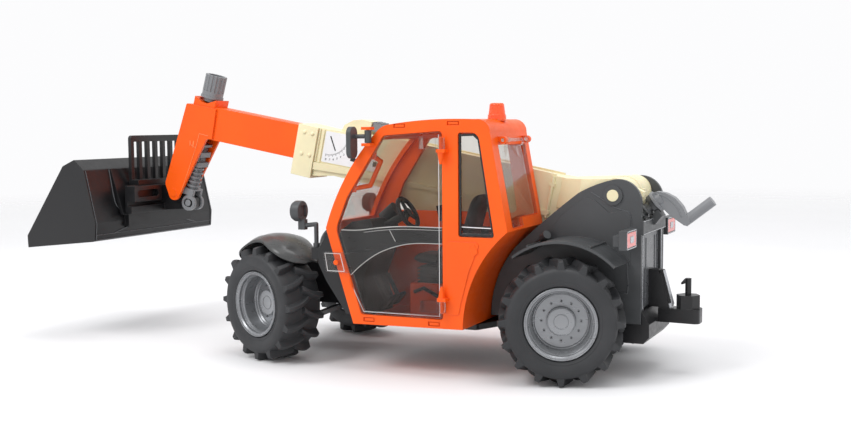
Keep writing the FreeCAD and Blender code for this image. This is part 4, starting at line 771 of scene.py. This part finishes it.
FENDER_SPINE = (                        # angle forwards, outer edge out, its radius, crest radius
    (-47, 5.0, 37.2, 38.2), (-43, 12.0, 36.4, 39.0), (-35, 17.4, 36.0, 39.9), (-24, 19.6, 36.0, 40.6),
    (-12, 18.8, 36.5, 41.0), (0, 16.8, 37.2, 41.1), (13, 16.2, 37.5, 41.0), (26, 17.0, 37.2, 40.4),
    (38, 16.6, 36.9, 39.6), (47, 12.8, 36.9, 38.8), (52, 6.6, 37.2, 38.2))
FENDER_ACROSS = 14                      # faces across the leaf
LEAF_THICKNESS = 1.1
FOLD_HEIGHT = 0.45


def on_wheel(place, mesh):
    """A mesh given forward of the kingpin, out from it and up, turned to stand at that wheel."""
    vertices, faces = mesh
    moved = []
    for forward, out, z in vertices:
        rise = z - TYRE_RADIUS
        moved.append(place(math.hypot(forward, rise), math.atan2(rise, -forward), RIM_FACE - out))
    return moved, faces


def build_fender(short, corner):
    """Leaf over the front tyre: crowned across, a fold near its outer edge and a wave along that edge."""
    place = wheel_place(corner)
    spine = curve(FENDER_SPINE, 4)
    vertices = []
    for layer in (0.0, -LEAF_THICKNESS):
        for angle, edge, low, crest in spine:
            inner = -9.2 * math.sqrt(math.cos(1.55 * math.radians(angle)))
            for k in range(FENDER_ACROSS + 1):
                share = k / FENDER_ACROSS
                out = inner + (edge - inner) * share
                side = 2 * share - 1
                radius = crest - (crest - low) * max(0, side) ** 2 - 2.2 * min(0, side) ** 2
                radius += FOLD_HEIGHT * math.exp(-((share - 0.8) / 0.05) ** 2)
                vertices.append(place(radius + layer, math.pi / 2 + math.radians(angle), RIM_FACE - out))
    faces = slab_faces(len(spine), FENDER_ACROSS + 1)
    leaf = piece("fender_leaf_" + corner, vertices, faces, "fender_grey", "knuckle_" + short, smooth=70)
    foot = on_wheel(place, block((-3.0, 3.0), (-9.2, 3.5), (42.2, 43.7)))
    post = on_wheel(place, block((-3.0, 3.0), (-8.8, -6.8), (43.0, 72.2)))
    piece("fender_post_" + corner, *joined(foot, post), "fender_grey", "knuckle_" + short, bevel=0.3)
    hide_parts("fender_" + corner)


LENS_BACK = -33.55                      # just inside the lenses' rear faces
PLATE_LINE = {"left": (26.2, 26.75), "right": (-26.6, -26.2)}


def mirrored(side, low, high):
    """A stretch of y on the left (side 1) or on the right (side -1)."""
    return tuple(sorted((side * low, side * high)))


def build_rear_end():
    """Lens centres and edges, bright strips, grille panel, hitch strut ribs in silver as a painted highlight, and
    raised plate lines.
    """
    outline = curve([(-5.3, 101.8), (-12.6, 97.5), (-18.2, 93.9), (-24.8, 91.8), (-27.1, 90.3),
                     (-27.7, 83.2), (-25.5, 70.1), (-26.2, 48.9), (-22.9, 47.1), (-8.0, 47.0)], 4)
    edge = (LENS_BACK, LENS_BACK + 0.15)
    for name, side in SIDES:
        centre = block((-33.75, -33.5), mirrored(side, 43.4, 50.6), (76.9, 80.3))
        piece("lens_centre_" + name, *centre, "silver", "chassis", bevel=0.1)
        rims = [block(edge, mirrored(side, 37.2, 56.8), z) for z in ((73.8, 74.3), (82.9, 83.4))]
        rims += [block(edge, mirrored(side, *y), (73.8, 83.4)) for y in ((37.2, 37.7), (56.3, 56.8))]
        piece("lens_rim_" + name, *joined(*rims), "silver", "chassis")
        line = stroke(outline, 0.5, *PLATE_LINE[name])
        piece("plate_line_" + name, *line, "panel_grey", "chassis")
    panel = [block((-31.95, -31.6), (-19.2, 19.2), (38.0, 78.2))]
    panel += [block((-32.3, -31.9), (y - 0.3, y + 0.3), (40.0, 76.0)) for y in (-15.0, -10.0, 10.0, 15.0)]
    piece("rear_grille", *joined(*panel), "panel_grey", "chassis", bevel=0.1)
    strips = [block((-33.5, -33.25), y, (38.0, 78.6)) for y in ((22.3, 23.2), (-21.2, -20.2))]
    strips += [block((-34.65, -34.45), (-26.0, 26.0), z) for z in ((86.1, 86.5), (79.2, 79.5))]
    piece("rear_bright_strips", *joined(*strips), "silver", "chassis")
    # real ribs on the strut; their silver stands for the shine along them, a painted highlight
    ribs = [tube([(-39.9, y, 57.2), (-45.1, y, 38.4)], 0.36) for y in (-1.9, -0.65, 0.65, 1.9)]
    foot = prism([(-45.3, 35.8), (-41.6, 35.8), (-41.6, 38.6), (-44.6, 39.4)], -2.75, 2.75)
    piece("strut_rib_highlights", *joined(*ribs, foot), "silver", "chassis", bevel=0.1)
    notches = [tube([(-34.7, y, 87.2), (-33.4, y, 87.2)], 1.0, 16) for y in (-21, -18, 18, 21)]
    piece("crossbar_scallops", *joined(*notches), "black", "chassis")


def build_head_details():
    """Raised panel line and clip on each side of the head in paler orange as a painted highlight, caps over its
    pin, and a seam under the knob.
    """
    for name, side in SIDES:
        wall = BOOM_Y + side * 8.6
        low, high = sorted((wall - side * 0.1, wall + side * 0.28))
        lines = [stroke([(260.1, 132.9), (266.8, 134.5), (269.9, 125.0), (274.6, 127.6)], 0.45, low, high),
                 stroke([(269.9, 125.0), (282.6, 95.6)], 0.35, low, high),
                 stroke([(272.4, 125.4), (271.4, 129.6)], 0.8, low, high),
                 stroke([(274.6, 126.6), (274.2, 130.0)], 0.6, low, high)]
        # the raised lines are real; their paler orange is a painted highlight where light catches them
        piece("head_line_highlights_" + name, *joined(*lines), "orange_pale", "inner")
        cap = tube([(289.0, wall - side * 0.3, 95.3), (289.0, wall + side * 0.3, 95.3)], 2.9, 32)
        piece("head_cap_" + name, *cap, "orange", "inner", bevel=0.15)
        ring_y = BOOM_Y + side * 5.6
        end = tube([(279.6, ring_y - side * 0.2, 88.3), (279.6, ring_y + side * 0.25, 88.3)], 2.2, 32)
        piece("tilt_pin_end_" + name, *end, "mid_grey", "carrier", bevel=0.15)


BACK_FOLD = (309.2, 78.0)               # x and z of the fold in the bucket's back
LINE_PROUD = 0.2


def bucket_back(y, z):
    """A point just outside the bucket's back, which slopes forward above and below its fold."""
    fold_x, fold_z = BACK_FOLD
    slope = max(0.0, z - fold_z) * 0.235 + max(0.0, fold_z - z) * 0.07
    return (fold_x + slope - LINE_PROUD, BOOM_Y + y, z)


def build_bucket_details():
    """Folded edges of the back's recess and a seam along the bottom as pale lines of painted highlight, and silver
    patches under the top edge as painted light between the guard's bars.
    """
    recess = [(39.5, 111.5), (39.5, 88.0), (26.5, 84.0), (24.5, 76.5), (45.0, 70.5)]
    edges = []
    for side in (1, -1):
        edges.append(tube(curve([bucket_back(side * y, z) for y, z in recess], 5), 0.32, 8))
        edges.append(tube([bucket_back(side * 62.0, z) for z in (67.6, 78.0, 111.4)], 0.3, 8))
    for z, radius in ((67.4, 0.32), (70.6, 0.2)):
        edges.append(tube([bucket_back(-62.0, z), bucket_back(62.0, z)], radius, 8))
    # painted highlight: the folds are real, their pale grey stands for the light along them
    piece("bucket_edge_highlights", *joined(*edges), "panel_grey", "carrier", smooth=60)
    # painted light: silver patches under the top edge stand for light falling between the guard's shaded bars
    patches = []
    for k in range(6):
        y = BOOM_Y - 24.0 + 8.3 * k
        patches.append(block((316.0, 316.6), (y, y + 5.0), (109.0, 111.2)))
    piece("bucket_lit_patches", *joined(*patches), "silver", "carrier", bevel=0.2)


CRANK_LEAN = 52.0                       # degrees that the worm's axis leans
CRANK_FOOT = 14.5                       # from the boom's pivot to the worm's axis


def build_crank_line():
    """Raised rib along the middle of the crank's arm."""
    lean = math.radians(CRANK_LEAN)
    foot_x = BOOM_PIVOT.x - CRANK_FOOT * math.cos(lean)
    foot_z = BOOM_PIVOT.z - CRANK_FOOT * math.sin(lean)
    line = []
    for x, z in ((3.4, 13.9), (0.0, 16.7), (-4.8, 18.4), (-10.5, 18.8), (-15.2, 17.6)):
        line.append((foot_x + x * math.cos(lean) - z * math.sin(lean),
                     foot_z + x * math.sin(lean) + z * math.cos(lean)))
    for name, low, high in (("left", 2.9, 3.3), ("right", -3.3, -2.9)):
        rib = stroke(curve(line, 6), 0.7, low, high)
        piece("crank_rib_" + name, *rib, "mid_grey", "hand_crank", bevel=0.12)


build_fender("fl", "front_left")
build_fender("fr", "front_right")
build_rear_end()
build_head_details()
build_bucket_details()
build_crank_line()


# ---------- floor and light

def build_floor():
    """A round white floor, wide enough to melt into the surroundings."""
    data = bpy.data.meshes.new("floor")
    steps, radius = 96, 2.2
    turns = [2 * math.pi * k / steps for k in range(steps)]
    rim = [(radius * math.cos(a), radius * math.sin(a), 0) for a in turns]
    data.from_pydata(rim, [], [tuple(range(steps))])
    floor = bpy.data.objects.new("floor", data)
    bpy.context.scene.collection.objects.link(floor)
    data.materials.append(floor_material())


def area_light(name, place, target, size, power):
    """A round soft light that faces its target."""
    data = bpy.data.lights.new(name, "AREA")
    data.shape = "DISK"
    data.size = size
    data.energy = power
    light = bpy.data.objects.new(name, data)
    light.location = place
    light.rotation_euler = (Vector(target) - Vector(place)).to_track_quat("-Z", "Y").to_euler()
    bpy.context.scene.collection.objects.link(light)


def build_light():
    """Bright white surroundings with two soft lights, and enough bounces for pane behind pane."""
    world = bpy.data.worlds.new("studio")
    bpy.context.scene.world = world
    world.use_nodes = True
    background = world.node_tree.nodes["Background"]
    background.inputs["Color"].default_value = (0.975, 0.975, 0.985, 1)
    background.inputs["Strength"].default_value = 1.0
    area_light("key", (0.35, 0.75, 0.95), (0, 0, 0.06), 0.5, 6.0)
    area_light("top", (-0.25, 0.0, 1.1), (0, 0, 0.06), 0.7, 4.0)
    scene = bpy.context.scene
    scene.view_settings.view_transform = "Standard"
    scene.cycles.transparent_max_bounces = 48


build_floor()
build_light()

bpy.context.view_layer.update()
